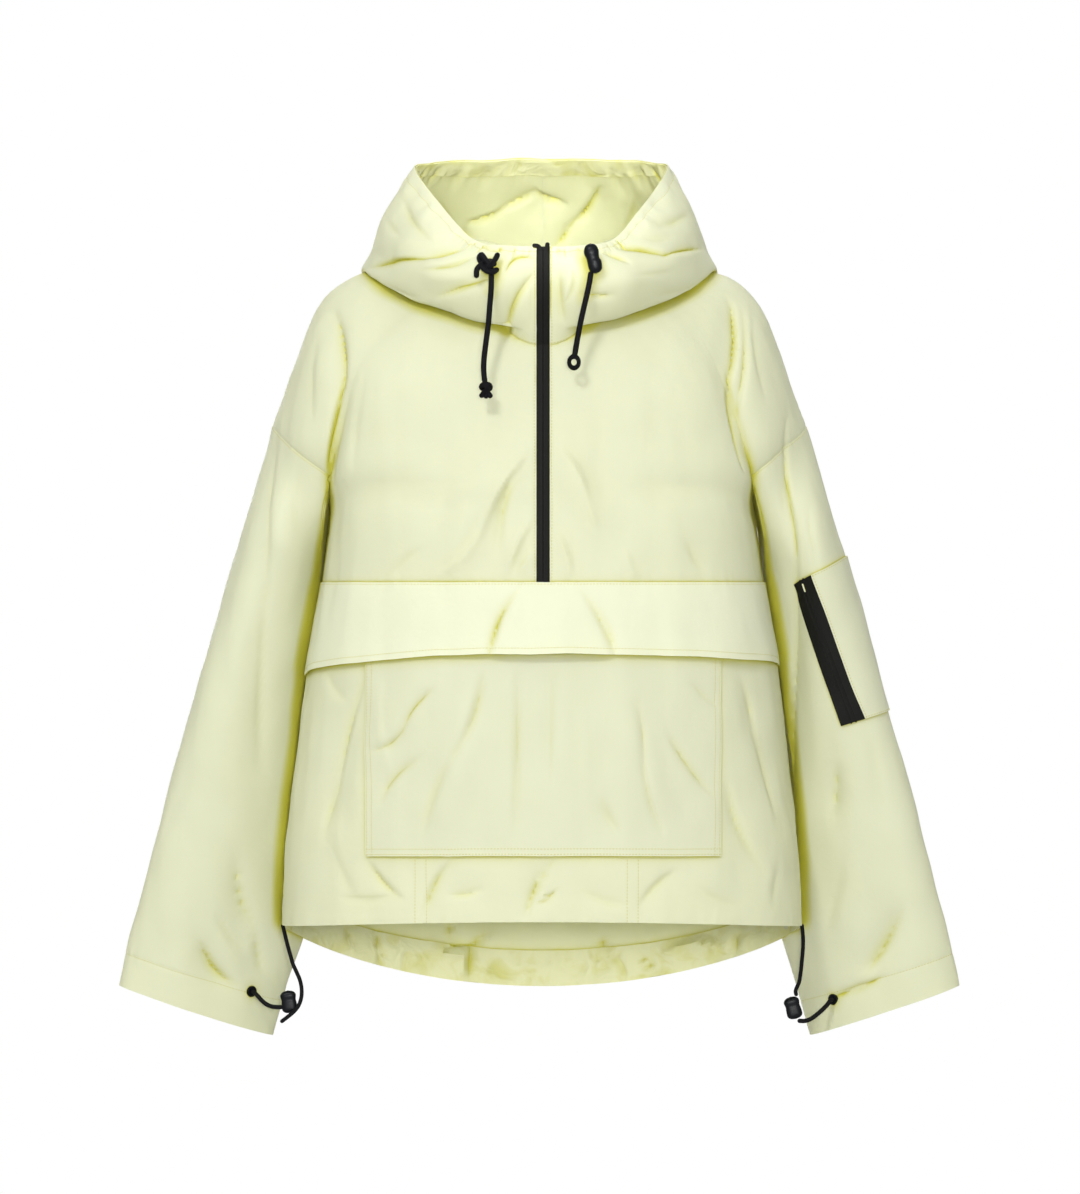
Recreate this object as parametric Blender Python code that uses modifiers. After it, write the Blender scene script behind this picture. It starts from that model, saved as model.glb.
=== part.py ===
# Anorak pullover: half zip, open standing hood, full-width chest flap over a wide front pocket, zipped
# pocket on the left sleeve, drawcords at hood, cuffs and hem.  Hollow, as if filled out by a wearer.
# The cloth is one skin of rings, from the hem to the rim of the hood, with two sleeves.  Every cut piece is a
# thin wall on its own share of that skin, and what is sewn on top is made from the same skin, moved out.
# Metres.  +X is the wearer's left, -Y the front, +Z up.  The origin lies between the shoulders.
import math

import bmesh
import bpy
import numpy as np
from mathutils import Matrix, Vector
from mathutils.bvhtree import BVHTree

# driving dimensions
CLOTH = 0.0016  # wall of every cloth piece
GAP = 0.0003  # between neighbours, at seams and between layers
LAYER = CLOTH + GAP  # from the middle of one layer to the middle of the next
ZIP_HALF = 0.0065  # half the width of the front zip
NECK = -0.050  # neck seam at the centre front
ARMPIT = -0.215
ARMHOLE = -0.185  # ring whose outer stretch is the dropped shoulder seam
CHEST_SEAM = -0.2825
HEM = -0.614
HEM_CASING = -0.587
POCKET_FOOT = -0.5495
POCKET_TOP = -0.306  # under the flap
POCKET_HALF = 0.1735
POCKET_SHARE = 0.789  # the pocket's side as a share of the half width, above the chest seam
SLEEVE_POCKET = (0.248, 0.513)  # top and foot of the sleeve pocket, as shares of the sleeve's length

# Rings of the front, named by their height at the centre front.  edge is the side seam, then the armhole, then
# the fold between chest and arm; turn is the ring's heading there, 90 straight back; crease is that fold's depth;
# fullness makes the ring squarer toward its edge.
FRONT_COLUMNS = ("level", "centre_y", "edge_x", "edge_y", "edge_z", "turn", "crease", "fullness")
FRONT_RINGS = (
    (HEM, -0.150, 0.2595, 0.000, -0.6250, 90, 0.0, 0.34),
    (-0.5495, -0.149, 0.2560, 0.000, -0.5540, 90, 0.0, 0.34),
    (-0.4500, -0.146, 0.2440, 0.000, -0.4510, 90, 0.0, 0.35),
    (-0.3575, -0.142, 0.2320, 0.001, -0.3575, 90, 0.0, 0.38),
    (CHEST_SEAM, -0.137, 0.2200, 0.003, -0.2825, 90, 0.0, 0.42),
    (ARMPIT, -0.130, 0.2125, 0.010, -0.2150, 90, 0.0, 0.51),
    (ARMHOLE, -0.126, 0.2090, -0.050, -0.1780, 86, 1.0, 0.20),
    (-0.1500, -0.121, 0.2005, -0.071, -0.1380, 60, 0.7, 0.19),
    (-0.1150, -0.116, 0.1850, -0.080, -0.0850, 40, 0.3, 0.26),
    (-0.0800, -0.1135, 0.1450, -0.072, -0.0280, 34, 0.0, 0.30),
    (NECK, -0.109, 0.0680, -0.062, 0.0080, 50, 0.0, 0.33),
)
BACK_COLUMNS = ("level", "centre_y", "centre_z", "edge_x", "edge_y", "edge_z", "turn", "crease", "fullness")
BACK_RINGS = (
    (HEM, 0.140, -0.6950, 0.2595, 0.000, -0.6250, 90, 0.0, 0.34),
    (-0.5495, 0.139, -0.6080, 0.2560, 0.000, -0.5540, 90, 0.0, 0.34),
    (-0.4500, 0.136, -0.4750, 0.2440, 0.000, -0.4510, 90, 0.0, 0.34),
    (-0.3575, 0.132, -0.3600, 0.2320, 0.001, -0.3575, 90, 0.0, 0.35),
    (CHEST_SEAM, 0.128, -0.2825, 0.2200, 0.003, -0.2825, 90, 0.0, 0.37),
    (ARMPIT, 0.124, -0.2150, 0.2125, 0.010, -0.2150, 90, 0.0, 0.41),
    (ARMHOLE, 0.123, -0.1750, 0.2090, 0.062, -0.1780, 86, 1.0, 0.25),
    (-0.1500, 0.121, -0.1250, 0.2030, 0.086, -0.1380, 60, 0.7, 0.24),
    (-0.1150, 0.117, -0.0720, 0.1870, 0.090, -0.0800, 40, 0.3, 0.28),
    (-0.0800, 0.106, -0.0180, 0.1480, 0.078, -0.0200, 34, 0.0, 0.30),
    (NECK, 0.085, 0.0350, 0.0700, 0.050, 0.0460, 50, 0.0, 0.33),
)
# the line over the shoulder, from the tip of the armhole to the neck
SHOULDER_COLUMNS = ("level", "x", "y", "z")
SHOULDER_LINE = (
    (ARMHOLE, 0.2665, 0.015, -0.1250),
    (-0.1500, 0.2535, 0.012, -0.0900),
    (-0.1150, 0.2340, 0.008, -0.0350),
    (-0.0975, 0.2175, 0.005, -0.0010),
    (-0.0800, 0.1925, 0.003, 0.0200),
    (NECK, 0.0880, -0.005, 0.0500),
)
# Rings of the sleeve: along is the share of its length, then the outermost and innermost points and half the depth
SLEEVE_COLUMNS = ("along", "out_x", "out_y", "out_z", "in_x", "in_y", "in_z", "half_depth")
SLEEVE_RINGS = (
    (0.00, 0.2665, 0.015, -0.125, 0.2125, 0.010, -0.215, 0.078),
    (0.15, 0.2890, 0.012, -0.205, 0.2165, 0.040, -0.262, 0.080),
    (0.30, 0.3130, 0.010, -0.285, 0.2180, 0.064, -0.325, 0.075),
    (0.45, 0.3385, 0.010, -0.375, 0.2210, 0.076, -0.412, 0.067),
    (0.62, 0.3660, 0.012, -0.470, 0.2270, 0.078, -0.510, 0.058),
    (0.80, 0.3935, 0.016, -0.575, 0.2380, 0.074, -0.622, 0.048),
    (0.92, 0.4110, 0.020, -0.641, 0.2590, 0.068, -0.690, 0.041),
    (1.00, 0.4210, 0.022, -0.6865, 0.2725, 0.064, -0.739, 0.037),
)
SLEEVE_JOIN = 0.19  # share of the sleeve over which the armhole becomes a plain section
SLEEVE_AXIS = (0.27, 0.0, -0.963)
# angle from the sleeve's outer line of each column of its front, at the top and at the foot of its pocket;
# the zip lies between columns 4 and 5
SLEEVE_ANGLES_TOP = (0, 18, 38, 59, 81, 108, 120, 131, 142, 154, 167, 180)
SLEEVE_ANGLES_FOOT = (0, 13, 26, 39, 53, 77, 97, 119, 140, 154, 167, 180)
SLEEVE_ANGLES_BOW = (0, 0, 0, 0, 0, 3, 2, 1, 0, 0, 0, 0)  # taken off halfway down, so that the zip stays straight
SLEEVE_ANGLES_BACK = (0, 17, 34, 51, 68, 86, 104, 122, 140, 154, 167, 180)
SLEEVE_CLEAR = 0.0045  # least room between sleeve and torso, wall middle to wall middle
SWAY = 0.0035  # how far shoulders and sleeves hang toward the wearer's right of the zip

# Sections of the hood by their angle round the neck, 0 at the centre front: where the cloth leaves the neck
# (under), where it folds over (fold), its fullest line (belly), the stretch above (high) and the rim
HOOD_HEIGHTS = {"neck": 0.0, "under": 0.12, "fold": 0.30, "belly": 0.50, "high": 0.78, "rim": 1.0}
HOOD_COLUMNS = ("angle", "under", "fold", "belly", "high", "rim")
HOOD_SECTIONS = (
    (0, (0.000, -0.112, -0.040), (0.000, -0.116, -0.024), (0.000, -0.1225, -0.002), (0.000, -0.1275, 0.026),
     (0.000, -0.126, 0.046)),
    (22, (0.034, -0.106, -0.030), (0.037, -0.1135, -0.029), (0.038, -0.130, -0.002), (0.038, -0.133, 0.028),
     (0.034, -0.125, 0.047)),
    (48, (0.072, -0.076, 0.012), (0.089, -0.092, -0.017), (0.096, -0.115, 0.010), (0.084, -0.113, 0.038),
     (0.068, -0.103, 0.054)),
    (70, (0.090, -0.046, 0.042), (0.144, -0.055, 0.008), (0.145, -0.071, 0.036), (0.122, -0.074, 0.066),
     (0.094, -0.068, 0.083)),
    (92, (0.100, -0.005, 0.066), (0.1700, -0.006, 0.0295), (0.1660, -0.006, 0.049), (0.1515, -0.004, 0.088),
     (0.1255, 0.004, 0.1295)),
    (118, (0.095, 0.040, 0.070), (0.164, 0.070, 0.012), (0.158, 0.072, 0.048), (0.138, 0.062, 0.095),
     (0.112, 0.040, 0.1400)),
    (145, (0.062, 0.078, 0.062), (0.122, 0.142, -0.030), (0.118, 0.150, 0.022), (0.098, 0.122, 0.090),
     (0.074, 0.062, 0.1445)),
    (180, (0.000, 0.098, 0.052), (0.000, 0.172, -0.052), (0.000, 0.180, 0.008), (0.000, 0.140, 0.090),
     (0.000, 0.070, 0.1465)),
)
HOOD_CASING = 0.945  # lower edge of the rim's casing
GATHERS = dict(count=11, depth=0.0022)  # waves of the gathered casing, per half

# Largest creases.  side says which way the cloth faces there; x, z from start to end as seen from the front,
# bow is how far the middle leans to the crease's right, depth is outward, so a trough is below zero
FOLD_COLUMNS = ("side", "x0", "z0", "x1", "z1", "bow", "width", "depth")
FOLDS = (
    ("front", -0.209, -0.010, -0.201, -0.150, -0.006, 0.014, -0.0065),
    ("front", 0.187, -0.005, 0.197, -0.150, 0.006, 0.014, -0.0065),
    ("front", -0.106, -0.372, -0.164, -0.450, 0.004, 0.018, 0.0055),
    ("front", -0.060, -0.372, -0.112, -0.520, -0.006, 0.022, 0.0075),
    ("front", -0.176, -0.380, -0.214, -0.525, 0.004, 0.018, -0.0065),
    ("front", 0.198, -0.380, 0.230, -0.510, -0.004, 0.018, -0.0065),
    ("front", 0.090, -0.400, 0.115, -0.520, 0.004, 0.020, 0.0065),
    ("front", -0.018, -0.155, -0.096, -0.270, 0.012, 0.018, 0.0060),
    ("front", 0.018, -0.150, 0.054, -0.225, 0.004, 0.016, 0.0045),
    ("front", -0.303, -0.560, -0.287, -0.680, 0.003, 0.015, -0.0060),
    ("front", -0.343, -0.645, -0.306, -0.690, 0.004, 0.014, -0.0060),
    ("front", 0.292, -0.460, 0.289, -0.520, 0.000, 0.016, -0.0050),
    ("front", 0.357, -0.610, 0.322, -0.676, -0.004, 0.014, -0.0060),
    ("front", -0.275, -0.140, -0.284, -0.460, 0.002, 0.015, -0.0055),
    ("front", 0.255, -0.120, 0.252, -0.500, 0.003, 0.015, -0.0065),
    ("front", -0.177, 0.038, -0.083, 0.051, 0.002, 0.011, -0.0060),
    ("front", 0.157, 0.053, 0.071, 0.052, 0.004, 0.011, -0.0060),
    ("front", -0.108, 0.004, -0.055, 0.019, 0.002, 0.010, -0.0045),
    ("back", -0.160, -0.060, -0.060, -0.190, 0.012, 0.022, 0.0070),
    ("back", 0.145, -0.050, 0.065, -0.200, -0.012, 0.022, 0.0065),
    ("back", -0.190, -0.240, -0.105, -0.400, 0.012, 0.022, -0.0070),
    ("back", 0.185, -0.230, 0.115, -0.420, -0.012, 0.022, -0.0065),
    ("back", -0.055, -0.460, -0.090, -0.650, 0.008, 0.022, -0.0065),
    ("back", 0.025, -0.440, 0.050, -0.660, -0.008, 0.022, 0.0065),
    ("back", 0.145, -0.440, 0.185, -0.600, -0.006, 0.020, -0.0065),
    ("back", -0.330, -0.330, -0.300, -0.470, 0.006, 0.018, -0.0060),
    ("back", 0.335, -0.360, 0.300, -0.480, -0.006, 0.018, -0.0060),
    ("back", -0.370, -0.600, -0.320, -0.690, 0.004, 0.016, -0.0060),
    ("back", 0.360, -0.590, 0.325, -0.690, -0.004, 0.016, -0.0060),
)
# the flap: how far it stands off the front at its seam, past the pocket's top and at its lower edge
FLAP = dict(lower_edge=-0.3528, drop_right=0.0240, drop_left=0.0130, rows=(0.0, 0.20, 0.45, 0.72, 1.0),
            off=(LAYER, 2.2 * LAYER, 3.0 * LAYER, 3.5 * LAYER, 0.0085), centre_bulge=0.0055)

# hard pieces and cords
HOOD_CORD = 0.0055  # diameter
CUFF_CORD = 0.0045
HEM_CORD = 0.0040
EYELET = dict(ring=0.0044, wire=0.0013)
STOPPER = dict(width=0.0160, height=0.0230, depth=0.0090, bevel=0.0018)
LOCK = dict(width=0.0150, depth=0.0110, height=0.0280, bevel=0.0040, lean=-10)
# middle of each hood cord's knot or lock, which sit on the eyelets, and of what is on its end
HOOD_KNOT = (-0.0520, -0.1412, 0.0285)
HOOD_LOCK = (0.0482, -0.1405, 0.0335)
END_KNOT = (-0.0560, -0.1388, -0.0935)
END_RING = (0.0302, -0.1378, -0.0676)
# the cords' routes, chosen by hand from where each comes out to its end
RIGHT_HOOD_ROUTE = (
    (-0.0505, -0.1418, 0.0175), (-0.0505, -0.1423, 0.0090), (-0.0512, -0.1426, -0.0030),
    (-0.0522, -0.1423, -0.0150), (-0.0532, -0.1416, -0.0280), (-0.0548, -0.1408, -0.0410),
    (-0.0564, -0.1400, -0.0530), (-0.0577, -0.1394, -0.0650), (-0.0580, -0.1390, -0.0760), (-0.0572, -0.1388, -0.0848),
)
LEFT_HOOD_ROUTE = (
    (0.0466, -0.1404, 0.0186), (0.0454, -0.1406, 0.0110), (0.0436, -0.1407, 0.0020), (0.0416, -0.1404, -0.0070),
    (0.0395, -0.1400, -0.0160), (0.0372, -0.1396, -0.0260), (0.0350, -0.1390, -0.0370), (0.0330, -0.1384, -0.0480),
    (0.0310, -0.1378, -0.0600),
)
# the stoppers at the cuffs: middle, lean in degrees
STOPPERS = {"right": ((-0.2545, 0.0100, -0.7025), -8), "left": ((0.2505, 0.0100, -0.7085), -15)}
CUFF_EYELETS = {"right": (-0.2935, -0.6930), "left": (0.2920, -0.7010)}
CUFF_ROUTES = {
    "right": ((-0.2932, 0.0274, -0.6930), (-0.2904, 0.0229, -0.6937), (-0.2868, 0.0190, -0.6965),
              (-0.2825, 0.0160, -0.7010), (-0.2775, 0.0135, -0.7050), (-0.2720, 0.0115, -0.7072),
              (-0.2670, 0.0103, -0.7078), (-0.2626, 0.0100, -0.7078)),
    "left": ((0.2917, 0.0252, -0.7011), (0.2886, 0.0209, -0.7020), (0.2850, 0.0175, -0.7060),
             (0.2800, 0.0148, -0.7108), (0.2740, 0.0128, -0.7158), (0.2680, 0.0112, -0.7198),
             (0.2625, 0.0102, -0.7216), (0.2570, 0.0100, -0.7216)),
}
HEM_ROUTES = {
    "right": ((-0.2600, -0.0030, -0.6256), (-0.2580, -0.0034, -0.6340), (-0.2553, -0.0030, -0.6450),
              (-0.2525, -0.0022, -0.6550), (-0.2500, -0.0010, -0.6640), (-0.2465, 0.0002, -0.6720),
              (-0.2432, 0.0014, -0.6800), (-0.2415, 0.0024, -0.6890), (-0.2420, 0.0030, -0.6985),
              (-0.2450, 0.0032, -0.7065), (-0.2500, 0.0032, -0.7125), (-0.2560, 0.0034, -0.7175),
              (-0.2612, 0.0040, -0.7215)),
    "left": ((0.2588, -0.0030, -0.6256), (0.2598, -0.0030, -0.6350), (0.2600, -0.0020, -0.6450),
             (0.2594, 0.0000, -0.6550), (0.2586, 0.0025, -0.6650), (0.2576, 0.0052, -0.6750),
             (0.2560, 0.0078, -0.6840), (0.2538, 0.0096, -0.6890), (0.2530, 0.0100, -0.6920),
             (0.2536, 0.0100, -0.6950)),
}


def read_table(table, columns, at):
    """The table's columns at these places, as named arrays, on cubic curves that never overshoot a row."""
    rows = np.array(table, float)
    curve = through(rows[:, 0], rows[:, 1:], at, held=True)
    return dict(zip(columns[1:], curve.T))


def read_rings(table, columns, levels):
    """Rows of a ring table; below the armpit the front and the back share one side seam."""
    levels = np.asarray(levels, float)
    ring = read_table(table, columns, levels)
    seam = read_table([row[:5] for row in FRONT_RINGS[:6]], FRONT_COLUMNS[:5], np.minimum(levels, ARMPIT))
    for column in ("edge_x", "edge_y", "edge_z"):
        ring[column] = np.where(levels <= ARMPIT, seam[column], ring[column])
    return ring


def through(knots, values, at, held=False):
    """Cubic curve through rows of values; held keeps it level at the peaks instead of rounding past them."""
    knots, values, at = np.asarray(knots, float), np.asarray(values, float), np.asarray(at, float)
    step = np.diff(knots)[:, None]
    rise = np.diff(values, axis=0) / step
    slope = np.vstack([rise[:1], (rise[:-1] * step[1:] + rise[1:] * step[:-1]) / (step[1:] + step[:-1]), rise[-1:]])
    if held:
        before, after = rise[:-1], rise[1:]
        same = before * after > 0
        mean = 2 * before * after / np.where(same, before + after, 1.0)
        slope[1:-1] = np.where(same, mean, 0.0)
    i = np.clip(np.searchsorted(knots, at) - 1, 0, len(knots) - 2)
    u = ((at - knots[i]) / step[i, 0])[:, None]
    h = step[i]
    return ((1 + 2 * u) * (1 - u) ** 2 * values[i] + u * (1 - u) ** 2 * h * slope[i]
            + u * u * (3 - 2 * u) * values[i + 1] + u * u * (u - 1) * h * slope[i + 1])


def bezier(p0, p1, p2, p3, t):
    """Cubic arcs, one for each row of end and handle points, at the parameters of that row of t."""
    t = t[..., None]
    p0, p1, p2, p3 = (p[:, None, :] for p in (p0, p1, p2, p3))
    return p0 * (1 - t) ** 3 + 3 * p1 * t * (1 - t) ** 2 + 3 * p2 * t * t * (1 - t) + p3 * t ** 3


def columns_of(*parts):
    return np.stack(np.broadcast_arrays(*parts), axis=-1)


def quarter_handles(ring, centre_z, back):
    """Ends and handles of the arcs from the centre line to the edge of the front, or of the back."""
    toward = -1.0 if back else 1.0
    centre = columns_of(np.zeros_like(centre_z), ring["centre_y"], centre_z)
    edge = columns_of(ring["edge_x"], ring["edge_y"], ring["edge_z"])
    turn = np.radians(ring["turn"])
    reach = ring["fullness"] * np.linalg.norm((edge - centre)[:, :2], axis=1)
    near = centre + columns_of(0.60 * ring["edge_x"], 0.0, 0.0)
    far = edge - columns_of(reach * np.cos(turn), toward * reach * np.sin(turn), 0.22 * (ring["edge_z"] - centre_z))
    return centre, near, far, edge


def cap_arcs(far, edge, crease, shoulder, back, t):
    """Arcs from the fold at the arm to the line over the shoulder."""
    side = 1.0 if back else -1.0
    span = np.linalg.norm(shoulder - edge, axis=1, keepdims=True)
    onward = (edge - far) / np.linalg.norm(edge - far, axis=1, keepdims=True)
    creased = np.array((0.62, side * 0.56, 0.55))
    heading = onward * (1 - crease[:, None]) + creased * crease[:, None]
    near = edge + 0.35 * span * heading
    away = shoulder + span * np.array((0.0, side * 0.42, -0.10))
    return bezier(edge, near, away, shoulder, t)


def front_columns(level_count, handles, pocket_x):
    """Arc parameters of the front's columns: centre, zip edge, evenly to the pocket's side, on to the edge."""
    dense = np.linspace(0, 1, 201)
    x = bezier(*handles, np.tile(dense, (level_count, 1)))[:, :, 0]
    columns = []
    for row in range(level_count):
        inner = np.linspace(ZIP_HALF, pocket_x[row], 8)
        t = np.interp(np.concatenate([[0.0], inner]), x[row], dense)
        columns.append(np.concatenate([t, np.linspace(t[-1], 1, 4)[1:]]))
    return np.array(columns)


def front_half(levels):
    """Grid of the front from the centre line to its edge, one row for each level."""
    ring = read_rings(FRONT_RINGS, FRONT_COLUMNS, levels)
    handles = quarter_handles(ring, np.asarray(levels, float), back=False)
    pocket_x = np.where(np.asarray(levels) <= CHEST_SEAM + 1e-6, POCKET_HALF, POCKET_SHARE * ring["edge_x"])
    return bezier(*handles, front_columns(len(levels), handles, pocket_x))


def back_half(levels):
    """Grid of the back from its edge to the centre line."""
    ring = read_rings(BACK_RINGS, BACK_COLUMNS, levels)
    handles = quarter_handles(ring, ring["centre_z"], back=True)
    return bezier(*handles, np.tile(np.linspace(1, 0, 9), (len(levels), 1)))


def arm_cap(levels, back):
    """Grid over the arm's top, from the fold to the shoulder line in front, and back to the fold behind."""
    if back:
        ring = read_rings(BACK_RINGS, BACK_COLUMNS, levels)
        centre_z = ring["centre_z"]
    else:
        ring = read_rings(FRONT_RINGS, FRONT_COLUMNS, levels)
        centre_z = np.asarray(levels, float)
    _, _, far, edge = quarter_handles(ring, centre_z, back)
    line = read_table(SHOULDER_LINE, SHOULDER_COLUMNS, levels)
    shoulder = columns_of(line["x"], line["y"], line["z"])
    grid = cap_arcs(far, edge, ring["crease"], shoulder, back, np.tile(np.linspace(0, 1, 9), (len(levels), 1)))
    return grid[:, ::-1] if back else grid


def torso_reach(y, z):
    """Half width of the torso at this depth and height, read from its rings."""
    levels = np.linspace(HEM, ARMPIT, 24)
    depths = np.linspace(-0.16, 0.15, 125)
    t = np.tile(np.linspace(0, 1, 61), (len(levels), 1))
    widths = []
    front = read_rings(FRONT_RINGS, FRONT_COLUMNS, levels)
    back = read_rings(BACK_RINGS, BACK_COLUMNS, levels)
    before = bezier(*quarter_handles(front, levels, back=False), t)
    behind = bezier(*quarter_handles(back, back["centre_z"], back=True), t)[:, ::-1]
    for ring in np.hstack([before, behind]):
        widths.append(np.interp(depths, ring[:, 1], ring[:, 0], left=0.0, right=0.0))
    widths = np.array(widths)
    row = np.interp(z, front["edge_z"], np.arange(len(levels)))
    column = np.interp(y, depths, np.arange(len(depths)))
    i, j = np.minimum(row.astype(int), len(levels) - 2), np.minimum(column.astype(int), len(depths) - 2)
    u, v = row - i, column - j
    return ((1 - u) * ((1 - v) * widths[i, j] + v * widths[i, j + 1])
            + u * ((1 - v) * widths[i + 1, j] + v * widths[i + 1, j + 1]))


def sleeve_angles(along):
    """Angle of every column, from the armpit round the front, over the outer line and round the back."""
    low = np.clip((along - SLEEVE_POCKET[0]) / (SLEEVE_POCKET[1] - SLEEVE_POCKET[0]), 0, 1)[:, None]
    front = (1 - low) * np.array(SLEEVE_ANGLES_TOP) + low * np.array(SLEEVE_ANGLES_FOOT)
    front -= np.sin(math.pi * low) * np.array(SLEEVE_ANGLES_BOW)
    back = np.tile(np.array(SLEEVE_ANGLES_BACK, float), (len(along), 1))
    return np.radians(np.hstack([-front[:, ::-1], back[:, 1:]]))


def plain_sleeve(along):
    """Sleeve sections without the armhole: ovals between the outermost and innermost lines."""
    ring = read_table(SLEEVE_RINGS, SLEEVE_COLUMNS, along)
    outer = columns_of(ring["out_x"], ring["out_y"], ring["out_z"])[:, None]
    inner = columns_of(ring["in_x"], ring["in_y"], ring["in_z"])[:, None]
    angle = sleeve_angles(along)[..., None]
    deep = ring["half_depth"][:, None, None] * np.array((0.0, 1.0, 0.0))
    grid = (outer + inner) / 2 + np.cos(angle) * (outer - inner) / 2 + np.sin(angle) * deep
    lowest = np.where(grid[..., 2] < -0.625, 0.0, torso_reach(grid[..., 1], grid[..., 2]) + SLEEVE_CLEAR)
    grid[..., 0] = np.maximum(grid[..., 0], lowest)
    return grid


def sleeve_grid(armhole, onward, along):
    """Sleeve from the armhole's points down to the cuff, leaving half along its axis and half onward from the
    shoulder; closed round, first and last columns alike."""
    along = np.asarray(along, float)
    plain = plain_sleeve(along)
    step = 0.01
    joint, past = plain_sleeve(np.array([SLEEVE_JOIN, SLEEVE_JOIN + step]))
    length = np.linalg.norm(joint - armhole, axis=1, keepdims=True)
    leave = (0.5 * np.array(SLEEVE_AXIS) + 0.5 * onward) * length
    arrive = (past - joint) / step * SLEEVE_JOIN
    for row in np.flatnonzero(along < SLEEVE_JOIN):
        u = along[row] / SLEEVE_JOIN
        plain[row] = ((1 + 2 * u) * (1 - u) ** 2 * armhole + u * (1 - u) ** 2 * leave
                      + u * u * (3 - 2 * u) * joint + u * u * (u - 1) * arrive)
    return plain


def hood_half(neck, heights):
    """Hood from the neck's points up to the rim, columns from the centre front round to the centre back."""
    turn = np.degrees(np.arctan2(neck[:, 0], -(neck[:, 1] + 0.010)))
    angles = np.array([row[0] for row in HOOD_SECTIONS], float)
    mirrored = np.concatenate([-angles[1:2], angles, 360 - angles[-2:-1]])
    flip = np.array((-1.0, 1.0, 1.0))
    lines = [neck]
    for column in range(1, len(HOOD_COLUMNS)):
        points = np.array([row[column] for row in HOOD_SECTIONS])
        points = np.vstack([points[1:2] * flip, points, points[-2:-1] * flip])
        lines.append(through(mirrored, points, turn))
    lines = np.array(lines)
    lines[1:, 0, 0] = neck[0, 0]  # the front edge runs straight up beside the zip
    lines[1:, -1, 0] = 0.0
    knots = list(HOOD_HEIGHTS.values())
    flat = through(knots, lines.reshape(len(knots), -1), np.asarray(heights, float))
    return flat.reshape(len(heights), len(neck), 3)


def crease_height(points, normals):
    """Sum of all creases at these points: bell-shaped across, fading in and out along."""
    height = np.zeros(len(points))
    for side, x0, z0, x1, z1, bow, width, depth in FOLDS:
        start, end = np.array((x0, z0)), np.array((x1, z1))
        run = end - start
        along = (points[:, [0, 2]] - start) @ run / (run @ run)
        lean = np.array((run[1], -run[0])) / np.linalg.norm(run)
        held = np.clip(along, 0, 1)
        nearest = start + held[:, None] * run + (bow * np.sin(math.pi * held))[:, None] * lean
        away = np.linalg.norm(points[:, [0, 2]] - nearest, axis=1)
        faces = np.clip(normals[:, 1] * (1 if side == "back" else -1) * 2.5 + 0.1, 0, 1)
        fade = np.sin(math.pi * np.clip(held * 0.86 + 0.07, 0, 1)) ** 0.8
        height += depth * faces * fade * np.exp(-(away / width) ** 2)
    return height


def grid_faces(rows, columns):
    """Quads of a grid of rows and columns, as indices in reading order."""
    first = (np.arange(rows - 1)[:, None] * columns + np.arange(columns - 1)).ravel()
    return np.stack([first, first + 1, first + columns + 1, first + columns], axis=1)


def merged(grids):
    """One list of points and quads from several grids that share edges."""
    points, faces, offset = [], [], 0
    for grid in grids:
        rows, columns = grid.shape[:2]
        points.append(grid.reshape(-1, 3))
        faces.append(grid_faces(rows, columns) + offset)
        offset += rows * columns
    points, faces = np.vstack(points), np.vstack(faces)
    _, first, index = np.unique(np.round(points, 6), axis=0, return_index=True, return_inverse=True)
    faces = index.reshape(-1)[faces]
    sound = np.array([len(set(face)) > 2 for face in faces])
    return points[first], faces[sound], index.reshape(-1)


def normals_of(points, faces):
    """Unit normals of the points: the mean of the quads' normals, by area."""
    corners = points[faces]
    normal = np.cross(corners[:, 2] - corners[:, 0], corners[:, 3] - corners[:, 1])
    total = np.zeros_like(points)
    for corner in range(4):
        np.add.at(total, faces[:, corner], normal)
    return total / np.maximum(np.linalg.norm(total, axis=1, keepdims=True), 1e-12)


def mirror(grid):
    """The other side's grid, with its columns turned round so that it still faces outward."""
    return grid[:, ::-1] * np.array((-1.0, 1.0, 1.0))


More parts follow.
